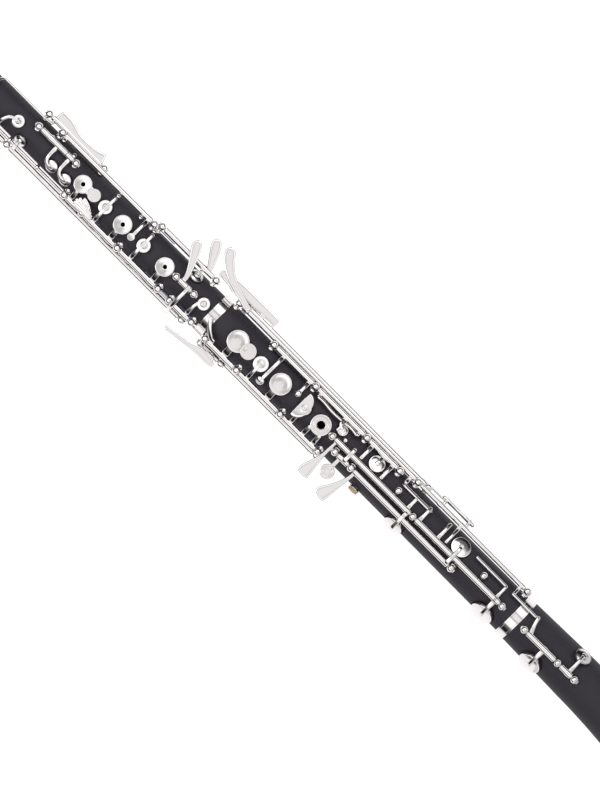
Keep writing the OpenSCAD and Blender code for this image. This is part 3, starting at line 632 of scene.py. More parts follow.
SKIN = Finish("pad_skin", Look.SKIN, "pad_skin", (0.8, 0.7, 0.54), (0.68, 0.55, 0.38), (0.4, 0.6), 220, 0.3)
FLOOR = Finish("studio_floor", Look.FLOOR, "grenadilla", (0.93, 0.93, 0.93), (0.9, 0.9, 0.9), (0.8, 0.9),
               3, 0.0)


# ---------------------------------------------------------------- keys
@dataclass(frozen=True)
class Hole:
    """A tone hole's place over its joint's foot, its cup's radius, and the pad's gap off the seat."""

    foot: float
    angle: float
    up: float
    cup: float
    gap: float

    @property
    def z(self) -> float:
        """Gives its height in the frame."""
        return self.foot + self.up

    def base(self, pad: float) -> float:
        """Gives how far a pad of that radius has its face from the bore's axis."""
        wood = wood_radius(self.z)
        return math.sqrt(wood ** 2 - (pad + SIZE.seat_margin) ** 2) + self.gap


@dataclass
class Key:
    """A key: one object made of its tube, arms, cups and touches, and one for its pads.

    Its heights, and those given to its methods, are over the foot of its joint.
    """

    name: str
    foot: float
    low: float
    high: float
    radius: float = SIZE.tube
    parts: list[Surface] = field(default_factory=list)
    pads: list[Surface] = field(default_factory=list)

    def __post_init__(self) -> None:
        """Reads the hinge line and turns the tube, which is hollow and has a fine groove near each end."""
        self.line = hinge_line(self.name)
        r, a, b, inner = self.radius, self.foot + self.low, self.foot + self.high, SIZE.rod + SIZE.rod_play
        ring = [(inner, a), (r - 0.12, a), (r, a + 0.12), (r, a + 0.85), (r - 0.13, a + 0.95), (r, a + 1.05),
                (r, b - 1.05), (r - 0.13, b - 0.95), (r, b - 0.85), (r, b - 0.12), (r - 0.12, b), (inner, b)]
        self.parts.append(round_line(ring, self.line))

    def bar(self, rows: list[tuple[float, ...]], **shape: Any) -> "Key":
        """Adds a ribbon through places over the body.

        Args:
            rows: (angle, distance from the bore's axis, height, width, thickness) along it.
            **shape: Values that ribbon takes by name.

        Returns:
            The key.
        """
        path = [(*Line(a, out).at(self.foot + z), w, t) for a, out, z, w, t in rows]
        self.parts.append(ribbon(path, **shape))
        return self

    def strip(self, rows: list[tuple[float, ...]], **shape: Any) -> "Key":
        """Adds a ribbon through places given by the frame's own x and y.

        Args:
            rows: (x, y, height, width, thickness) along it.
            **shape: Values that ribbon takes by name.

        Returns:
            The key.
        """
        self.parts.append(ribbon([(x, y, self.foot + z, w, t) for x, y, z, w, t in rows], **shape))
        return self

    def bow(self, angles: tuple[float, float], heights: tuple[float, float], outs: tuple[float, float],
            w: tuple[float, float], t: float = SIZE.bar_t, sway: float = 0.0, **shape: Any) -> "Key":
        """Adds a ribbon on an arc round the body.

        Args:
            angles: Angles of its two ends.
            heights: Heights of its two ends.
            outs: Their distances from the bore's axis.
            w: Their widths.
            t: Thickness.
            sway: Height added in mid-arc.
            **shape: Values that ribbon takes by name.

        Returns:
            The key.
        """
        low, high = (self.foot + height for height in heights)
        self.parts.append(ribbon(arc_rows(*angles, low, high, *outs, w, t, sway), **shape))
        return self

    def arm(self, angle: float, up: float, w: float = SIZE.arm_w, tip: float = 0.0,
            rise: float = 0.0) -> "Key":
        """Adds an arm round the body from the tube to an angle, with a collar on the tube if there is room.

        Args:
            angle: Where it ends.
            up: Its height.
            w: Width at the far end.
            tip: Height added at the far end.
            rise: Distance added to the far end, away from the axis.

        Returns:
            The key.
        """
        turn = angle - self.line.angle
        start = self.line.angle + math.copysign(math.degrees(SIZE.arm_root / self.line.out), turn)
        out = self.line.out - SIZE.arm_drop
        self.bow((start, angle), (up, up + tip), (out, out + rise), (w + SIZE.root_flare, w), SIZE.arm_t,
                 n=44, cap=0.8)
        half, inner, outer = w * SIZE.collar_share, SIZE.rod + 0.12, self.radius + SIZE.collar_proud
        if self.low < up - half and up + half < self.high:
            z, ease = self.foot + up, SIZE.collar_ease
            collar = [(inner, z - half), (outer, z - half + ease), (outer, z + half - ease), (inner, z + half)]
            self.parts.append(round_line(collar, self.line))
        return self

    def hook(self, hole: Hole, up: float) -> "Key":
        """Adds an arm that leaves the tube level and curves along the bore on to its cup.

        Args:
            hole: The tone hole under the cup.
            up: Height at which the arm leaves the tube.

        Returns:
            The key.
        """
        turn = hole.angle - self.line.angle
        start = math.copysign(math.degrees(SIZE.arm_root / self.line.out), turn) / turn
        across = (start, 0.35, 0.68, 0.9, 0.985, 1.0, 1.0)
        along = (0.0, 0.0, 0.04, 0.26, 0.56, 0.8, 1.0)
        width = (2.9, 2.4, 2.1, 2.0, 2.0, 2.2, 2.6)
        out = self.line.out - SIZE.arm_drop
        return self.bar([(self.line.angle + turn * f, out, up + (hole.up - up) * g, w, SIZE.arm_t)
                         for f, g, w in zip(across, along, width)], n=60)

    def over(self, angle: float, up: float, end: float) -> "Key":
        """Adds an arm that rises over the neighbouring tube and comes down on a cup.

        Args:
            angle: Where it ends.
            up: Its height.
            end: Its distance from the axis at the end.

        Returns:
            The key.
        """
        top = self.line.out + self.radius + SIZE.over_rise
        across = (0.0, 0.1, 0.28, 0.5, 0.72, 0.9, 1.0)
        outs = (self.line.out + 1.2, top - 0.5, top, top, top, (top + end) / 2 + 0.6, end)
        return self.bar([(self.line.angle + (angle - self.line.angle) * f, out, up, w, SIZE.arm_t)
                         for f, out, w in zip(across, outs, np.linspace(2.7, 2.2, 7))], n=48)

    def cup(self, hole: Hole, boss: float | None = None) -> "Key":
        """Adds a domed cup with a rolled rim, its boss and its pad.

        Args:
            hole: The tone hole under it.
            boss: Distance of the boss's top from the axis, or None for a little inside the tube's axis.

        Returns:
            The key.
        """
        r, pad = hole.cup, hole.cup - SIZE.cup_wall
        base = hole.base(pad)
        top, roof = base + SIZE.cup_tall, base + SIZE.cup_roof
        place, axes = spot_frame(hole.angle, hole.z)
        dome = [(0, top + 0.5), (r * 0.3, top + 0.46), (r * 0.62, top + 0.3), (r * 0.84, top + 0.02),
                (r * 0.9, top - 0.1), (r - 0.12, top - 0.1), (r, top - 0.35), (r, base + 0.62),
                (r - 0.1, base + 0.5), (r - 0.34, base + 0.5), (r - 0.42, roof), (0, roof)]
        self.parts.append(turned(rounded(dome, 0.22), place, axes, 56))
        head, b = (boss or self.line.out - SIZE.boss_drop), min(1.2, r * 0.3)
        self.parts.append(turned(rounded([(0, head), (b * 0.8, head), (b, head - 0.2), (b, top + 0.7),
                                          (b + 0.7, top + 0.3), (0, top + 0.2)], 0.2), place, axes, 32))
        return self.pad(hole, pad, 0.0)

    def plate(self, hole: Hole, vent: float = 0.0, ring: bool = False) -> "Key":
        """Adds a dished finger plate on its narrower cup, with its pad.

        Args:
            hole: The tone hole under it.
            vent: Radius of the hole through it, or 0.
            ring: True for a stepped ring round a wide hole.

        Returns:
            The key.
        """
        r, cup = hole.cup, hole.cup * SIZE.plate_cup
        pad = cup - SIZE.cup_wall
        base, top = hole.base(pad), self.line.out - SIZE.plate_drop
        roof = base + SIZE.cup_roof
        outer = [(r - 0.5, top), (r - 0.12, top - 0.1), (r, top - 0.4), (r, top - 0.9),
                 (r - 0.25, top - 1.25), (cup + 0.1, top - 1.35), (cup, top - 1.6), (cup, base + 0.5),
                 (cup - 0.34, base + 0.5), (cup - 0.42, roof)]
        if ring:
            inner = [(vent, roof), (vent, top - 0.25), (vent + 0.2, top + 0.05), (vent + 0.95, top + 0.05),
                     (vent + 1.1, top - 1.25), (vent + 2.1, top - 1.25), (vent + 2.25, top)]
        elif vent > 0:
            inner = [(vent, roof), (vent, top - 0.85), (vent + 0.25, top - 0.62), (r * 0.5, top - 0.42),
                     (r * 0.75, top - 0.17)]
        else:
            inner = [(0, top - 0.5), (r * 0.3, top - 0.46), (r * 0.6, top - 0.28), (r * 0.8, top - 0.1)]
            outer.append((0, roof))
        self.parts.append(turned(rounded(inner + outer, 0.2, 5), *spot_frame(hole.angle, hole.z), 72))
        return self.pad(hole, pad, vent)

    def pad(self, hole: Hole, r: float, vent: float) -> "Key":
        """Adds the pad of a cup: a disc with a soft lower edge, or a ring of it.

        Args:
            hole: The tone hole under it.
            r: Its radius.
            vent: Radius of the hole through it, or 0.

        Returns:
            The key.
        """
        base = hole.base(r)
        top, crown = base + SIZE.pad_top, 0.0 if vent else 0.06
        shape = [(vent, top), (r - 0.06, top), (r - 0.02, base + 1.0), (r, base + 0.4),
                 (r - 0.12, base + 0.12), (r - 0.45, base), (vent, base + crown)]
        self.pads.append(turned(rounded(shape, 0.1), *spot_frame(hole.angle, hole.z), 56))
        return self

    def disc(self, angle: float, up: float, r: float, bottom: float, top: float) -> "Key":
        """Adds a flat round touch between two distances from the axis.

        Args:
            angle: Where it is.
            up: Its height.
            r: Its radius.
            bottom: Distance of its underside from the axis.
            top: Distance of its top.

        Returns:
            The key.
        """
        shape = [(0, top - 0.1), (r * 0.8, top - 0.04), (r - 0.15, top - 0.02), (r, top - 0.35),
                 (r, bottom + 0.25), (r - 0.25, bottom), (0, bottom)]
        self.parts.append(turned(rounded(shape, 0.2), *spot_frame(angle, self.foot + up), 56))
        return self

    def touch(self, y: float, rows: list[tuple[float, float, float]], t: float = SIZE.touch_t,
              cap: float = 1.0) -> "Key":
        """Adds a flat touch in front of the body.

        Args:
            y: Its middle plane.
            rows: (x, height, width) along it.
            t: Thickness.
            cap: Roundness of its ends.

        Returns:
            The key.
        """
        return self.strip([(x, y, up, w, t) for x, up, w in rows], up=(0, -1, 0), n=48, around=28, power=3.0,
                          cap=cap)

    def rail(self, angle: float, up_0: float, up_1: float, out: float, w: float = 2.0,
             t: float = SIZE.bar_t) -> "Key":
        """Adds a straight bar along the body.

        Args:
            angle: Where it lies.
            up_0: Height of one end.
            up_1: Height of the other end.
            out: Its distance from the axis.
            w: Width.
            t: Thickness.

        Returns:
            The key.
        """
        return self.bar([(angle, out, up, w, t) for up in np.linspace(up_0, up_1, 4)], n=16)

    def done(self, pad_node: str | None = None) -> None:
        """Writes the key and its pads.

        Args:
            pad_node: The CAD node of its pads, if it has any.
        """
        make_piece(self.name + "_work", self.parts, self.name, PLATE, (self.name,))
        if pad_node:
            make_piece(pad_node + "_disc", self.pads, self.name, SKIN, (pad_node,))


class KeyGroup:
    """A group of keys whose heights share one starting point, the foot."""

    foot: float = 0.0

    def key(self, name: str, post_below: float, post_above: float, radius: float = SIZE.tube) -> Key:
        """Starts a key whose tube lies between two posts.

        Args:
            name: The key, which is also its body and CAD node.
            post_below: Height of the lower post.
            post_above: Height of the upper post.
            radius: Radius of the tube.

        Returns:
            The key.
        """
        gap = SIZE.ball + SIZE.ball_play
        return Key(name, self.foot, post_below + gap, post_above - gap, radius)

    def hole(self, angle: float, up: float, cup: float, gap: float = SIZE.shut_gap) -> Hole:
        """Makes a tone hole from its height over the foot."""
        return Hole(self.foot, angle, up, cup, gap)


class UpperKeys(KeyGroup):
    """Keys of the upper joint: octaves, trills, the left hand's plates and its little-finger touches."""

    foot = U0

    def build(self) -> None:
        """Builds every key of the group."""
        self.octaves()
        self.trills()
        self.plates()
        self.little_finger()

    def octaves(self) -> None:
        """Builds the thumb's and the side octave keys."""
        hole = self.hole(-6, 153.4, 3.7)
        thumb = self.key("thumb_octave_key", 149.6, 174.6)
        thumb.hook(hole, 161.2).cup(hole).arm(-160, 169, w=3.0)
        thumb.bar([(-167.5, thumb.line.out - SIZE.arm_drop, up, w, 1.4) for up, w in
                   ((129.6, 7.2), (136, 9.6), (150, 9.0), (160, 8.0), (170.6, 6.6))],
                  n=48, around=28, power=3.2)
        thumb.done("thumb_octave_pad")
        hole = self.hole(14, 178, 3.2)
        side = self.key("side_octave_key", 100.4, 144.4)
        near = wood_radius(self.foot + 160) + 2.3
        side.cup(hole, boss=near + 0.3).arm(59, 139.2, w=2.0, rise=-0.4)
        side.bar([(58, near + lift, up, w, 1.4) for lift, up, w in
                  ((0.9, 138.6, 2.2), (0.5, 141, 1.9), (0, 145, 1.7), (0, 160, 1.6), (0, 176.6, 1.7))])
        side.bow((58, 14), (176.4, hole.up), (near, near), (1.8, 2.2), sway=0.8)
        x, y = side.line.at(0)[:2]
        side.touch(y - SIZE.touch_drop, [(x + 2.6, 103.6, 9.2), (x + 1.7, 108, 7.2), (x + 1.2, 114, 6.0),
                                         (x + 1.2, 124, 6.0), (x + 2.5, 133, 8.4), (x + 2.6, 140.3, 8.6)],
                   cap=0.35)
        side.done("side_octave_pad")

    def trills(self) -> None:
        """Builds the trill keys over the top of the joint and the lever that works one of them."""
        hole = self.hole(-47, 145.1, 3.7)
        b_trill = self.key("side_trill_key", 8.6, 149.6)
        b_trill.arm(-47, hole.up).arm(-104, 12.6).cup(hole).done("side_trill_pad")
        hole = self.hole(-31, 122.1, 3.9)
        c_trill = Key("c_trill_key", self.foot, 120.9, 140.3)
        c_trill.hook(hole, 127.4).cup(hole).arm(33, 133).done("trill_pad")
        hole = self.hole(-31, 111.2, 3.9)
        d_trill = Key("d_trill_key", self.foot, 115.8, 120.5)
        d_trill.hook(hole, 117.6).cup(hole).arm(40, 117.1).done()
        lever = self.key("trill_lever", 57.4, 131.2)
        lever.arm(-9, 61.6).disc(-9, 61.6, 2.3, lever.line.out - 1.2, lever.line.out + 0.35)
        lever.arm(37, 127.4).done()

    def plates(self) -> None:
        """Builds the three finger plates of the left hand and the vent cups between them."""
        gap = SIZE.open_gap
        half = self.key("half_hole_key", 91.4, 105.6)
        half.arm(-14, 101.5, w=2.8).plate(self.hole(-2, 102, 5.4, gap), vent=1.2)
        half.disc(-2, 93, 3.9, half.line.out - 1.3, half.line.out - 0.2)
        half.bar([(-2, half.line.out - SIZE.touch_drop, up, w, SIZE.touch_t) for up, w in
                  ((99, 7.0), (97, 5.6), (94, 5.4))], n=16)
        flutes = ((-5.6, -8.4, 96.2, 89.2), (-7.3, -9.2, 98.2, 86.6), (-9.0, -10.1, 99.2, 85.2),
                  (-10.6, -11.0, 99.0, 84.6), (-12.1, -11.9, 98.4, 84.4))
        for x_0, x_1, head, tail in flutes:
            half.strip([(x_0, -14.05, head, 1.9, 1.2), ((x_0 + x_1) / 2, -14.3, head - 5, 2.0, 1.3),
                        (x_1, -13.9, tail, 1.2, 1.1)], up=(0, -1, 0), n=20, power=2.2)
        half.strip([(x, -13.55, up, w, 0.8) for x, up, w in
                    ((-6.6, 93.4, 6.4), (-9.4, 92.6, 9.6), (-12.4, 92, 11.0))], up=(0, -1, 0), n=16)
        half.done("half_hole_pad")
        a_key = self.key("a_key", 63, 91.4)
        a_key.arm(-15, 69.9, w=3.4).plate(self.hole(-3, 69.9, 5.6, gap), vent=1.2)
        a_key.arm(32, 83.3).cup(self.hole(-3, 83.9, 4.1, gap)).done("a_pads")
        g_key = self.key("g_key", 30.3, 63)
        g_key.arm(-15, 36, w=3.4).plate(self.hole(-3, 36, 5.6, gap), vent=1.2)
        g_key.arm(34, 53.6).cup(self.hole(-3, 53.1, 4.1, gap)).done("g_pads")
        hole = self.hole(0, 5.5, 3.7, gap)
        self.key("bridge_key", 3.4, 20.9).hook(hole, 8.8).cup(hole).done("bridge_pad")

    def little_finger(self) -> None:
        """Builds the left hand's F lever and G sharp key."""
        f_lever = self.key("left_f_lever", 13.4, 27.4)
        y = -f_lever.line.out - 0.25
        out = f_lever.line.out + SIZE.tube + SIZE.over_rise
        f_lever.bar([(angle, out, 17.9, 2.2, 1.4) for angle in np.linspace(5, -120, 9)], n=64)
        foot = [(0, out + 0.2), (1.3, out + 0.2), (1.4, out), (1.4, out - 2.4), (0, out - 2.4)]
        f_lever.parts.append(turned(foot, *spot_frame(0, self.foot + 17.9), 32))
        f_lever.touch(y, [(0.9, 22.8, 2.6), (5, 23.6, 3.0), (10, 25.8, 3.8), (15.4, 28.6, 5.2),
                          (20, 31.2, 6.0), (23.6, 33.2, 4.2)])
        f_lever.done()
        hole = self.hole(43, 20, 4.3)
        g_sharp = self.key("g_sharp_key", 10.2, 53.6)
        x, y = g_sharp.line.at(0)[:2]
        g_sharp.arm(43, hole.up).cup(hole)
        g_sharp.touch(y - 0.35, [(x + 0.6, 17.4, 3.2), (x + 4, 18.4, 4.0), (x + 9, 21.2, 5.4),
                                 (x + 13.6, 24, 6.0), (x + 17.4, 26.4, 4.4)])
        g_sharp.done("g_sharp_pad")


class LowerKeys(KeyGroup):
    """Keys of the lower joint: the right hand's plates, the low-note levers and their cups."""

    foot = L0

    def build(self) -> None:
        """Builds every key of the group."""
        self.side_levers()
        self.plates()
        self.f_keys()
        self.little_finger()
        self.low_cups()

    def side_levers(self) -> None:
        """Builds the long B and B flat levers and the side trill touch.

        Two of the touches lie over a neighbouring tube, on stubs that stand between them and their own.
        """
        over, stub = 3.45, 2.0
        b_lever = self.key("b_lever", 90.4, 234.2)
        x, y = b_lever.line.at(0)[:2]
        b_lever.touch(y - over, [(x + 0.4, 227.6, 3.6), (x + 3.2, 237, 3.8), (x + 6.6, 247, 4.6),
                                 (x + 11.4, 254.2, 6.2), (x + 15.6, 257.8, 6.4), (x + 19, 260, 4.4)])
        b_lever.touch(y - stub, [(x, 226.4, 2.9), (x, 229.6, 2.9)], t=2.9)
        b_lever.arm(36, 95.4, w=2.4).rail(36, 73, 96.4, b_lever.line.out - 2.3, 2.2, 1.2)
        b_lever.disc(36, 95.4, 0.9, b_lever.line.out - 2.5, b_lever.line.out - 0.4)
        b_lever.done()
        bb_lever = self.key("bb_lever", 84.2, 229.6)
        x, y = bb_lever.line.at(0)[:2]
        paddle = [(5.1, 211, 4.8), (4.9, 220, 5.4), (4.3, 230, 6.6), (3.9, 243, 6.6), (3.0, 254.8, 3.4)]
        for cap, rows in ((0.5, paddle),
                          (0.3, [(3.6, 235.4, 3.4), (2.6, 240, 6.4), (3.0, 246.6, 4.2)]),
                          (0.3, [(-0.6, 220.0, 3.2), (5.6, 220.0, 3.2)]),
                          (0.3, [(-0.2, 211.9, 1.7), (5.6, 211.9, 1.7)]),
                          (0.3, [(-0.2, 211.4, 1.4), (-0.2, 221, 1.4)])):
            bb_lever.touch(y - SIZE.touch_drop, [(x + across, up, w) for across, up, w in rows], cap=cap)
        bb_lever.arm(98, 89).rail(98, 71, 90, bb_lever.line.out + 1.7, 1.6, 1.2)
        bb_lever.disc(98, 89, 0.9, bb_lever.line.out - 0.6, bb_lever.line.out + 1.9)
        bb_lever.done()
        trill = self.key("side_trill_touch", 217.6, 234.2)
        x, y = trill.line.at(0)[:2]
        trill.touch(y - over, [(x - 4.2, 219.8, 2.2), (x - 3.7, 225, 5.0), (x - 3.5, 231, 5.0),
                               (x - 5.2, 239, 3.2), (x - 6.5, 248, 2.6), (x - 7.6, 255, 2.4)])
        trill.touch(y - over, [(x + 0.2, 225.4, 6.4), (x - 3.4, 225.4, 7.2)], cap=0.4)
        trill.touch(y - stub, [(x, 223.6, 2.9), (x, 226.4, 2.9)], t=2.9)
        trill.done()

    def plates(self) -> None:
        """Builds the right hand's plates with the vent cups, the half-moon and the ring."""
        gap = SIZE.open_gap
        f_sharp = self.key("f_sharp_key", 208.6, 234)
        f_sharp.arm(-18, 219.7, w=4.4).plate(self.hole(-4, 219.4, 6.6, gap))
        f_sharp.disc(-4, 211.2, 4.8, f_sharp.line.out - 1.3, f_sharp.line.out - 0.2)
        f_sharp.arm(-40, 229.8)
        out = f_sharp.line.out - 0.5
        f_sharp.bow((-50, -7), (229.8, 240.2), (out, out), (3.4, 2.2), sway=0.8)
        f_sharp.bar([(-4, f_sharp.line.out - SIZE.touch_drop, up, w, SIZE.touch_t) for up, w in
                     ((216, 8.4), (213, 7.0), (211, 7.0))], n=16)
        f_sharp.done("f_sharp_pad")
        e_key = self.key("e_key", 173.4, 208.6)
        e_key.arm(-18, 185.2, w=4.2).plate(self.hole(-4, 185.2, 6.5, gap))
        e_key.arm(-4, 201.2).cup(self.hole(-4, 201.2, 4.6, gap)).done("e_pads")
        d_key = self.key("d_key", 143.2, 173.4)
        d_key.arm(-20, 148.6, w=2.8, tip=0.4).arm(-20, 156.6, w=2.8, tip=-0.4)
        d_key.plate(self.hole(-5, 152.6, 6.2, gap), vent=2.4, ring=True)
        d_key.arm(-4, 166).cup(self.hole(-4, 166, 4.1, gap))
        t = np.linspace(0, 0.97, 10)
        d_key.bar([(-4, d_key.line.out - SIZE.touch_drop, 170.0 - 7.4 * v, w, SIZE.touch_t)
                   for v, w in zip(t, 16.4 * np.sqrt(1 - t ** 2.4))], n=48, around=32, power=3.4, cap=0.1)
        d_key.done("d_pads")

    def f_keys(self) -> None:
        """Builds the fork vent, the F key, the left F link and the E flat key."""
        fork = self.key("fork_key", 170.2, 203.6)
        fork.arm(-31, 194.9).cup(self.hole(-31, 194.9, 2.6, SIZE.open_gap))
        fork.arm(8, 174.4)
        v = np.linspace(-math.pi / 2, math.pi / 2, 13)
        knob = [(0, -1.7), *zip(2.1 * np.cos(v[1:-1]), 1.7 * np.sin(v[1:-1])), (0, 1.7)]
        fork.parts.append(turned(knob, *spot_frame(8, self.foot + 174.4, fork.line.out - 0.4), 40))
        fork.done()
        f_key = self.key("f_key", 129, 170.2)
        hole = self.hole(22, 141.7, 3.3)
        f_key.hook(hole, 145.6).cup(hole).arm(34, 134).arm(34, 165)
        f_key.arm(10, 144.2, w=1.6)
        out = f_key.line.out - SIZE.arm_drop
        f_key.bar([(angle, out, up, w, SIZE.bar_t) for angle, up, w in
                   ((35, 165.6, 2.2), (36, 161, 2.0), (33, 154, 1.7), (34, 147, 1.7), (38, 140, 1.9),
                    (35, 133.6, 2.2))], n=56)
        f_key.done("f_pad")
        link = self.key("left_f_link", 142, 230)
        link.arm(-122, 225).rail(-122, 224, U0 - L0 + 15, link.line.out - SIZE.arm_drop)
        link.arm(-150, 148).done()
        e_flat = self.key("eb_key", 102.4, 129)
        hole = self.hole(24.5, 114.5, 5.0)
        e_flat.arm(3, 123.4, w=2.4).arm(24.5, hole.up).arm(3, 107.4, w=2.4).cup(hole).done("eb_pad")

    def little_finger(self) -> None:
        """Builds the right hand's E flat, C and C sharp touches with their tubes."""
        e_flat = self.key("eb_lever", 123.4, 136.2)
        y = e_flat.line.at(0)[1]
        e_flat.over(10, 129, e_flat.line.out + 0.6)
        e_flat.touch(y - 0.25, [(-6.6, 131.6, 2.2), (-11, 131.6, 2.4), (-15.6, 131.6, 2.6)])
        shape = [(0, 0.45), (1.5, 0.5), (2.5, 0.62), (2.7, 0.1), (3.0, 0.1), (3.2, 0.75), (4.0, 0.7),
                 (4.35, 0.3), (4.35, -0.4), (4.0, -0.8), (0, -0.85)]
        e_flat.parts.append(turned(rounded(shape, 0.25), np.array([-17.4, y - 0.45, self.foot + 131.6]),
                                   np.array([[1.0, 0, 0], [0, 0, 1.0], [0, -1.0, 0]]), 48))
        e_flat.done()
        c_key = self.key("c_key", 79.1, 143.5)
        y = -c_key.line.out - 0.35
        hole = self.hole(-60, 83.2, 6.1, SIZE.open_gap)
        c_key.over(-60, hole.up, c_key.line.out - 1.6).cup(hole).arm(30, 84.6)
        c_key.touch(y, [(-0.9, 139.5, 1.8), (-7, 139.7, 1.9), (-13, 139.9, 2.4),
                        (-19, 140.3, 4.6), (-24.4, 140.8, 7.2), (-28.9, 141.1, 8.6)], cap=0.3)
        c_key.done("c_pad")
        c_sharp = self.key("c_sharp_key", 43.1, 123.4)
        y = c_sharp.line.at(0)[1] - 0.25
        hole = self.hole(27, 47.3, 6.1)
        c_sharp.over(27, hole.up, c_sharp.line.out - 1.4).cup(hole)
        c_sharp.touch(y, [(-6.6, 119.7, 2.1), (-11.6, 120.3, 2.2), (-17, 121.5, 3.2),
                          (-22.6, 123.1, 5.4), (-27, 124.6, 7.6), (-30.9, 125.8, 8.4)], cap=0.3)
        c_sharp.done("c_sharp_pad")

    def low_cups(self) -> None:
        """Builds the low B key and the link to the bell."""
        low_b = self.key("b_key", 7.4, 79.1)
        hole = self.hole(-60, 12.5, 7.3, SIZE.open_gap)
        low_b.arm(-58, hole.up, w=2.6).cup(hole).arm(39, 75).arm(46, 60.6)
        low_b.arm(33, 13.4, w=2.0).rail(32, 12.6, 37.5, low_b.line.out - 0.7, 1.7).done("b_pad")
        link = self.key("bb_link", 2.6, 90.4, 1.4)
        link.arm(100, 73, w=2.0).arm(31, 7.4, w=2.0).arm(5, 55.6, w=2.0)
        link.rail(31, BELL_TOP - L0 - 5, 8.5, link.line.out - 0.5, 1.8, 1.2)
        x, y = link.line.at(0)[:2]
        link.strip([(x + 4.4, y + 2.2, up, w, 1.7) for up, w in
                    ((50, 2.6), (56, 3.6), (63, 2.8), (70, 3.6), (75, 2.6))], up=(1, 0.4, 0), n=36, power=3.2)
        head = [(0, 1.35), (0.5, 1.3), (0.95, 1.0), (1.0, 0.5), (0.6, -0.4), (0, -0.4)]
        axes = spot_frame(math.degrees(math.atan2(1, -0.4)), 0)[1]
        for up in (53.5, 71.5):
            link.strip([(x + 1.2, y + 0.5, up, 1.9, 1.2), (x + 4.6, y + 2.3, up, 2.2, 1.2)], n=12)
            link.parts.append(turned(head, np.array([x + 4.8, y + 2.4, self.foot + up]), axes, 24))
        link.done()


class BellKeys(KeyGroup):
    """Keys of the bell: the low B flat cup and its vent."""

    foot = BELL_TOP

    def build(self) -> None:
        """Builds both keys."""
        low = self.key("bb_key", -31.2, -4.6)
        hole = self.hole(-56, -20.5, 7.1, SIZE.open_gap)
        out = low.line.out - SIZE.arm_drop
        low.bow((-4, 33), (-9.2, -5.4), (out, out), (2.8, 2.4), sway=0.6)
        low.arm(-54, hole.up, w=2.6).cup(hole).done("bb_pad")
        vent = self.key("bell_vent_key", -44.6, -31.2)
        hole = self.hole(42, -39.3, 5.0, SIZE.open_gap)
        vent.arm(42, hole.up).cup(hole).done()


# ---------------------------------------------------------------- fixed parts
@dataclass(frozen=True)
class Post:
    """A turned ball post on a hinge line, at a height."""

    line: Line
    z: float

    def surface(self) -> Surface:
        """Turns the post: a flange on the wood, a waisted stem and a ball head.

        Returns:
            A closed surface.
        """
        wood, h, r = wood_radius(self.z), self.line.out, SIZE.ball
        ball = [(r * math.cos(t), h + r * math.sin(t)) for t in np.radians(np.linspace(-56, 84, 15))]
        foot = [(0, -2), (1.05, -2), (1.05, -0.35), (1.96, -0.35), (1.98, 0.5), (1.8, 0.75), (1.45, 0.85),
                (1.22, 1.1), (1.16, 1.35)]
        shape = [(across, wood + up) for across, up in foot]
        return turned(shape + ball + [(0, h + r)], *spot_frame(self.line.angle, self.z), 40)

    def screw(self, side: int) -> Surface:
        """Turns the head of the hinge rod's screw, on the post's face that looks along the bore.

        Args:
            side: 1 for the face that looks up, or -1.

        Returns:
            A closed surface.
        """
        face = self.z + side * SIZE.ball_flat
        ring = [(0, 0), (1.15, 0), (1.25, 0.12), (1.2, 0.42), (0.85, 0.5), (0.8, 0.34), (0, 0.34)]
        return round_line([(r, face + side * proud) for r, proud in ring], self.line)


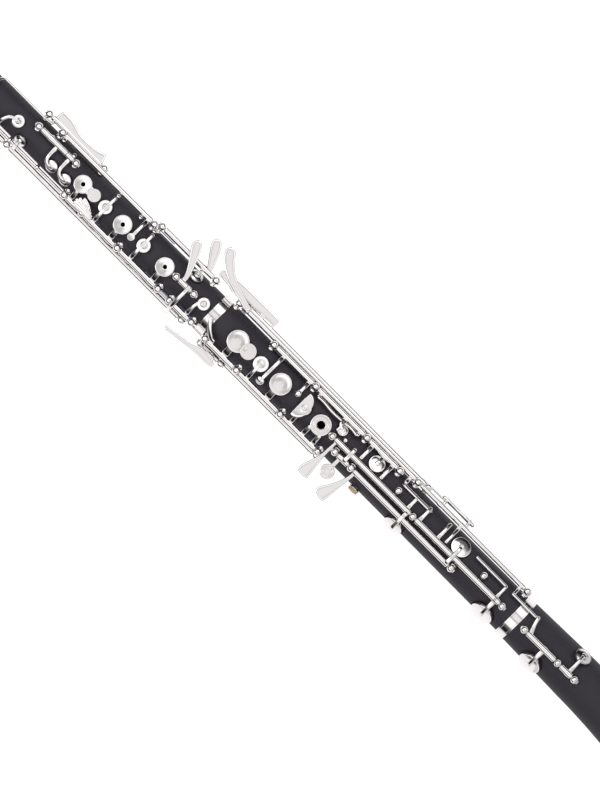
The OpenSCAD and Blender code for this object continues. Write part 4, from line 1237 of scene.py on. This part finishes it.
class Fixtures:
    """The wooden joints, rings, socket, posts, rods, springs, thumb rest and bumper, all on one body.

    Each table gives the heights of the posts on a key's hinge line, over the foot of its joint.
    """

    body = "instrument"
    upper = {"g_key": (3.4, 20.9, 30.3, 63, 91.4, 105.6), "side_trill_key": (8.6, 149.6, 174.6),
             "trill_lever": (57.4, 131.2), "side_octave_key": (100.4, 144.4), "g_sharp_key": (10.2, 53.6),
             "c_trill_key": (113.2, 142.9), "left_f_lever": (13.4, 27.4)}
    lower = {"e_key": (143.2, 173.4, 208.6, 234), "side_trill_touch": (217.6, 234.2),
             "left_f_link": (142, 230), "c_key": (7.4, 79.1, 143.5), "c_sharp_key": (43.1, 123.4, 136.2),
             "f_key": (102.4, 129, 170.2, 203.6), "b_lever": (2.6, 90.4, 234.2), "bb_lever": (84.2, 229.6)}
    bell = {"bb_key": (-44.6, -31.2, -4.6)}

    def build(self) -> None:
        """Builds the posts and dresses the rest."""
        parts: list[Surface] = []
        for group, foot in ((self.upper, U0), (self.lower, L0), (self.bell, BELL_TOP)):
            for name, heights in group.items():
                line = hinge_line(name)
                posts = [Post(line, foot + h) for h in heights]
                parts += [post.surface() for post in posts]
                parts += [posts[0].screw(-1), posts[-1].screw(1)]
        for angle, z in ((14, L0 + 26.8), (13, L0 + 95.2)):
            parts.append(Post(Line(angle, wood_radius(z) + 2.6), z).surface())
        for angle, z in ((44, U0 + 83.3), (45, U0 + 65.9), (45, U0 + 54.6), (9, L0 + 136.6)):
            parts.append(self.bead(Line(angle, wood_radius(z) + 1.6), z))
        slim, r = Line(-76, 12.7), SIZE.rod
        parts.append(round_line([(0, U0 + 106), (r, U0 + 106.2), (r, U0 + 172.8), (0, U0 + 173)], slim, 24))
        parts += [self.bead(slim, z) for z in (U0 + 107, U0 + 128, U0 + 150, U0 + 172)]
        self.bumper(parts)
        make_piece("ball_posts", parts, self.body, PLATE, ("posts",))
        for node, finish, bevel in (("upper_joint", WOOD, 0.25), ("lower_joint", WOOD, 0.25),
                                    ("bell", WOOD, 0.35), ("middle_ring", PLATE, 0.22),
                                    ("bell_ring", PLATE, 0.22),
                                    ("reed_socket", PLATE, 0.3), ("thumb_rest", PLATE, 0.45),
                                    ("thumb_rest_screws", PLATE, 0.15)):
            soften(node, finish, bevel)
        for node, finish in (("hinge_rods", ROD), ("needle_springs", SPRING), ("socket_sleeves", ROD),
                             ("tenon_corks", CORK)):
            dress(node, finish)

    def bead(self, line: Line, z: float) -> Surface:
        """Turns a small post with a button head.

        Args:
            line: The line through the heads.
            z: Height in the frame.

        Returns:
            A closed surface.
        """
        shape = [(0, -2.6), (0.8, -2.6), (1.0, -1.0), (1.35, -0.5), (1.35, 0.6), (0.9, 1.2), (0, 1.3)]
        return turned(rounded(shape, 0.25), *spot_frame(line.angle, z, line.out), 28)

    def bumper(self, parts: list[Surface]) -> None:
        """Adds the low bumper at the left: a turned metal seat among the posts, and its cork disc.

        Args:
            parts: The posts' surfaces, which the seat joins.
        """
        place, axes = spot_frame(-80, L0 + 113.6, wood_radius(L0 + 113.6))
        seat = [(0, -1.0), (2.6, -1.0), (2.7, 0.5), (3.5, 0.8), (3.6, 1.5), (3.3, 1.7), (0, 1.7)]
        parts.append(turned(rounded(seat, 0.2), place, axes, 48))
        cork = [(0, 1.6), (3.0, 1.6), (3.1, 2.5), (2.9, 2.8), (0, 2.8)]
        make_piece("bumper_cork", [turned(rounded(cork, 0.2), place, axes, 48)], self.body, CORK)


def dress(node: str, finish: Finish) -> None:
    """Gives a CAD node a finish in each of its material slots.

    Args:
        node: The CAD node.
        finish: The finish.
    """
    slots = frame["nodes"][node].data.materials
    for k in range(len(slots)):
        slots[k] = finish.material()
    if not slots:
        slots.append(finish.material())


def soften(node: str, finish: Finish, bevel: float) -> None:
    """Makes a piece from a copy of a CAD node with merged points, smooth shading and eased edges.

    Args:
        node: The CAD node, which the piece replaces.
        finish: Its finish.
        bevel: Width of the eased edge in millimetres.
    """
    mesh = frame["nodes"][node].data.copy()
    mesh.name = node + "_eased"
    work = bmesh.new()
    work.from_mesh(mesh)
    bmesh.ops.remove_doubles(work, verts=work.verts, dist=MERGE_M)
    bmesh.ops.dissolve_limit(work, angle_limit=FLAT, verts=work.verts, edges=work.edges)
    work.to_mesh(mesh)
    work.free()
    mesh.materials.clear()
    mesh.materials.append(finish.material())
    smooth(mesh, SHARP_CAD)
    piece = place_mesh(mesh)
    ease = piece.modifiers.new("ease", "BEVEL")
    ease.width, ease.segments, ease.limit_method = bevel * MM, 2, "ANGLE"
    ease.angle_limit = EASED_OVER
    ease.harden_normals = True
    carry(piece, Fixtures.body, (node,))
    LOG.info("%s: eased by %.2f mm", mesh.name, bevel)


# ---------------------------------------------------------------- studio
SKY = ((0.0, 1.05), (1.0, 1.1), (0.008, 1.0), (0.014, 0.62), (0.024, 0.6), (0.032, 1.4), (0.1, 1.5),
       (0.17, 1.35), (0.25, 0.16), (0.4, 0.01), (0.5, 0.01), (0.6, 1.1), (0.86, 1.25))


@dataclass(frozen=True)
class Panel:
    """A soft square light: where it hangs and its side in metres, and its power in watts."""

    name: str
    place: tuple[float, float, float]
    side: float
    power: float


@dataclass(frozen=True)
class Studio:
    """The pale floor, the soft lights and the camera, in metres.

    SKY gives the world's brightness from front to back, as pairs of a place from 0 to 1 and a value.
    """

    floor_r: float = 0.43
    floor_t: float = 0.006
    floor_gap: float = 0.0002
    white: float = 1.35
    sky_power: float = 0.9
    sky_blue: float = 1.01
    sensor: float = 0.036
    reach: float = 3.0
    tall: float = 0.456
    far: float = 50.0
    middle: tuple[float, float] = (0.0003, 0.2994)
    tilt: tuple[float, float] = (0.7083, 0.7059)
    aim: tuple[float, float, float] = (0.0, 0.0, 0.3)
    panels: tuple[Panel, ...] = (Panel("key", (-1.4, -1.9, 1.7), 1.0, 6),
                                 Panel("fill", (1.7, -1.7, 0.7), 1.0, 3),
                                 Panel("back", (0.2, 1.8, 1.6), 1.4, 3))

    def build(self) -> None:
        """Builds all of it, and shows brightness plainly, so that plated parts keep their hard highlights."""
        bpy.context.scene.view_settings.view_transform = "Standard"
        self.floor()
        self.world()
        self.lights()
        self.camera()

    def floor(self) -> None:
        """Lays a pale floor under the bell."""
        r, t = self.floor_r / MM, self.floor_t / MM
        middle = np.array([0, 0, -self.floor_gap / MM])
        disc = turned([(0, 0.0), (r, 0.0), (r, -t), (0, -t)], middle, np.eye(3), 96)
        mesh = write_mesh("studio_floor", disc)
        mesh.materials.append(self.pale())
        place_mesh(mesh)

    def pale(self) -> bpy.types.Material:
        """Makes the floor's material: matt and pale, and as bright to the lens as the world.

        Returns:
            The material.
        """
        made = FLOOR.material()
        tree = made.node_tree
        glow = tree.nodes.new("ShaderNodeEmission")
        glow.inputs["Strength"].default_value = self.white
        split_view(tree, find_node(tree, "BSDF_PRINCIPLED"), glow, "OUTPUT_MATERIAL")
        return made

    def world(self) -> None:
        """Sets a world that is plain white to the lens and a soft grey bow to the metal."""
        world = bpy.data.worlds.new("studio")
        bpy.context.scene.world = world
        world.use_nodes = True
        tree = world.node_tree
        sky, white = find_node(tree, "BACKGROUND"), tree.nodes.new("ShaderNodeBackground")
        coords, ramp = tree.nodes.new("ShaderNodeTexCoord"), tree.nodes.new("ShaderNodeValToRGB")
        split, spread = tree.nodes.new("ShaderNodeSeparateXYZ"), tree.nodes.new("ShaderNodeMapRange")
        spread.inputs["From Min"].default_value, spread.inputs["From Max"].default_value = -1.0, 1.0
        ramp.color_ramp.interpolation = "EASE"
        for k, (at, value) in enumerate(SKY):
            stop = ramp.color_ramp.elements[k] if k < 2 else ramp.color_ramp.elements.new(at)
            stop.position, stop.color = at, (value, value, value * self.sky_blue, 1)
        wire(tree, (coords, "Generated", split, "Vector"), (split, "Y", spread, "Value"),
             (spread, "Result", ramp, "Fac"), (ramp, "Color", sky, "Color"))
        sky.inputs["Strength"].default_value = self.sky_power
        white.inputs["Strength"].default_value = self.white
        split_view(tree, sky, white, "OUTPUT_WORLD")

    def lights(self) -> None:
        """Hangs two large soft panels in front and one behind, turned towards the middle of the bore."""
        for panel in self.panels:
            light = bpy.data.lights.new(panel.name, "AREA")
            light.shape, light.size, light.energy = "SQUARE", panel.side, panel.power
            lamp = bpy.data.objects.new(panel.name, light)
            lamp.location = panel.place
            aim = Vector(self.aim) - Vector(panel.place)
            lamp.rotation_euler = aim.to_track_quat("-Z", "Y").to_euler()
            bpy.context.scene.collection.objects.link(lamp)

    def camera(self) -> None:
        """Places a long lens in front, rolled so that the bore runs from upper left to lower right."""
        data = bpy.data.cameras.new("camera")
        data.sensor_width = self.sensor / MM
        data.lens = self.sensor / MM * self.reach / self.tall
        data.clip_end = self.far
        camera = bpy.data.objects.new("camera", data)
        (along, down), (x, z) = self.tilt, self.middle
        right, up = Vector((along, 0, -down)), Vector((down, 0, along))
        turn = Matrix((right, up, right.cross(up))).transposed()
        camera.matrix_world = Matrix.Translation((x, -self.reach, z)) @ turn.to_4x4()
        bpy.context.scene.collection.objects.link(camera)
        bpy.context.scene.camera = camera


def main() -> None:
    """Builds the instrument and its studio."""
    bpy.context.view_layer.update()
    Studio().build()
    Fixtures().build()
    UpperKeys().build()
    LowerKeys().build()
    BellKeys().build()
    bpy.context.view_layer.update()


if __name__ == "__main__":
    logging.basicConfig(level=logging.INFO)
    main()
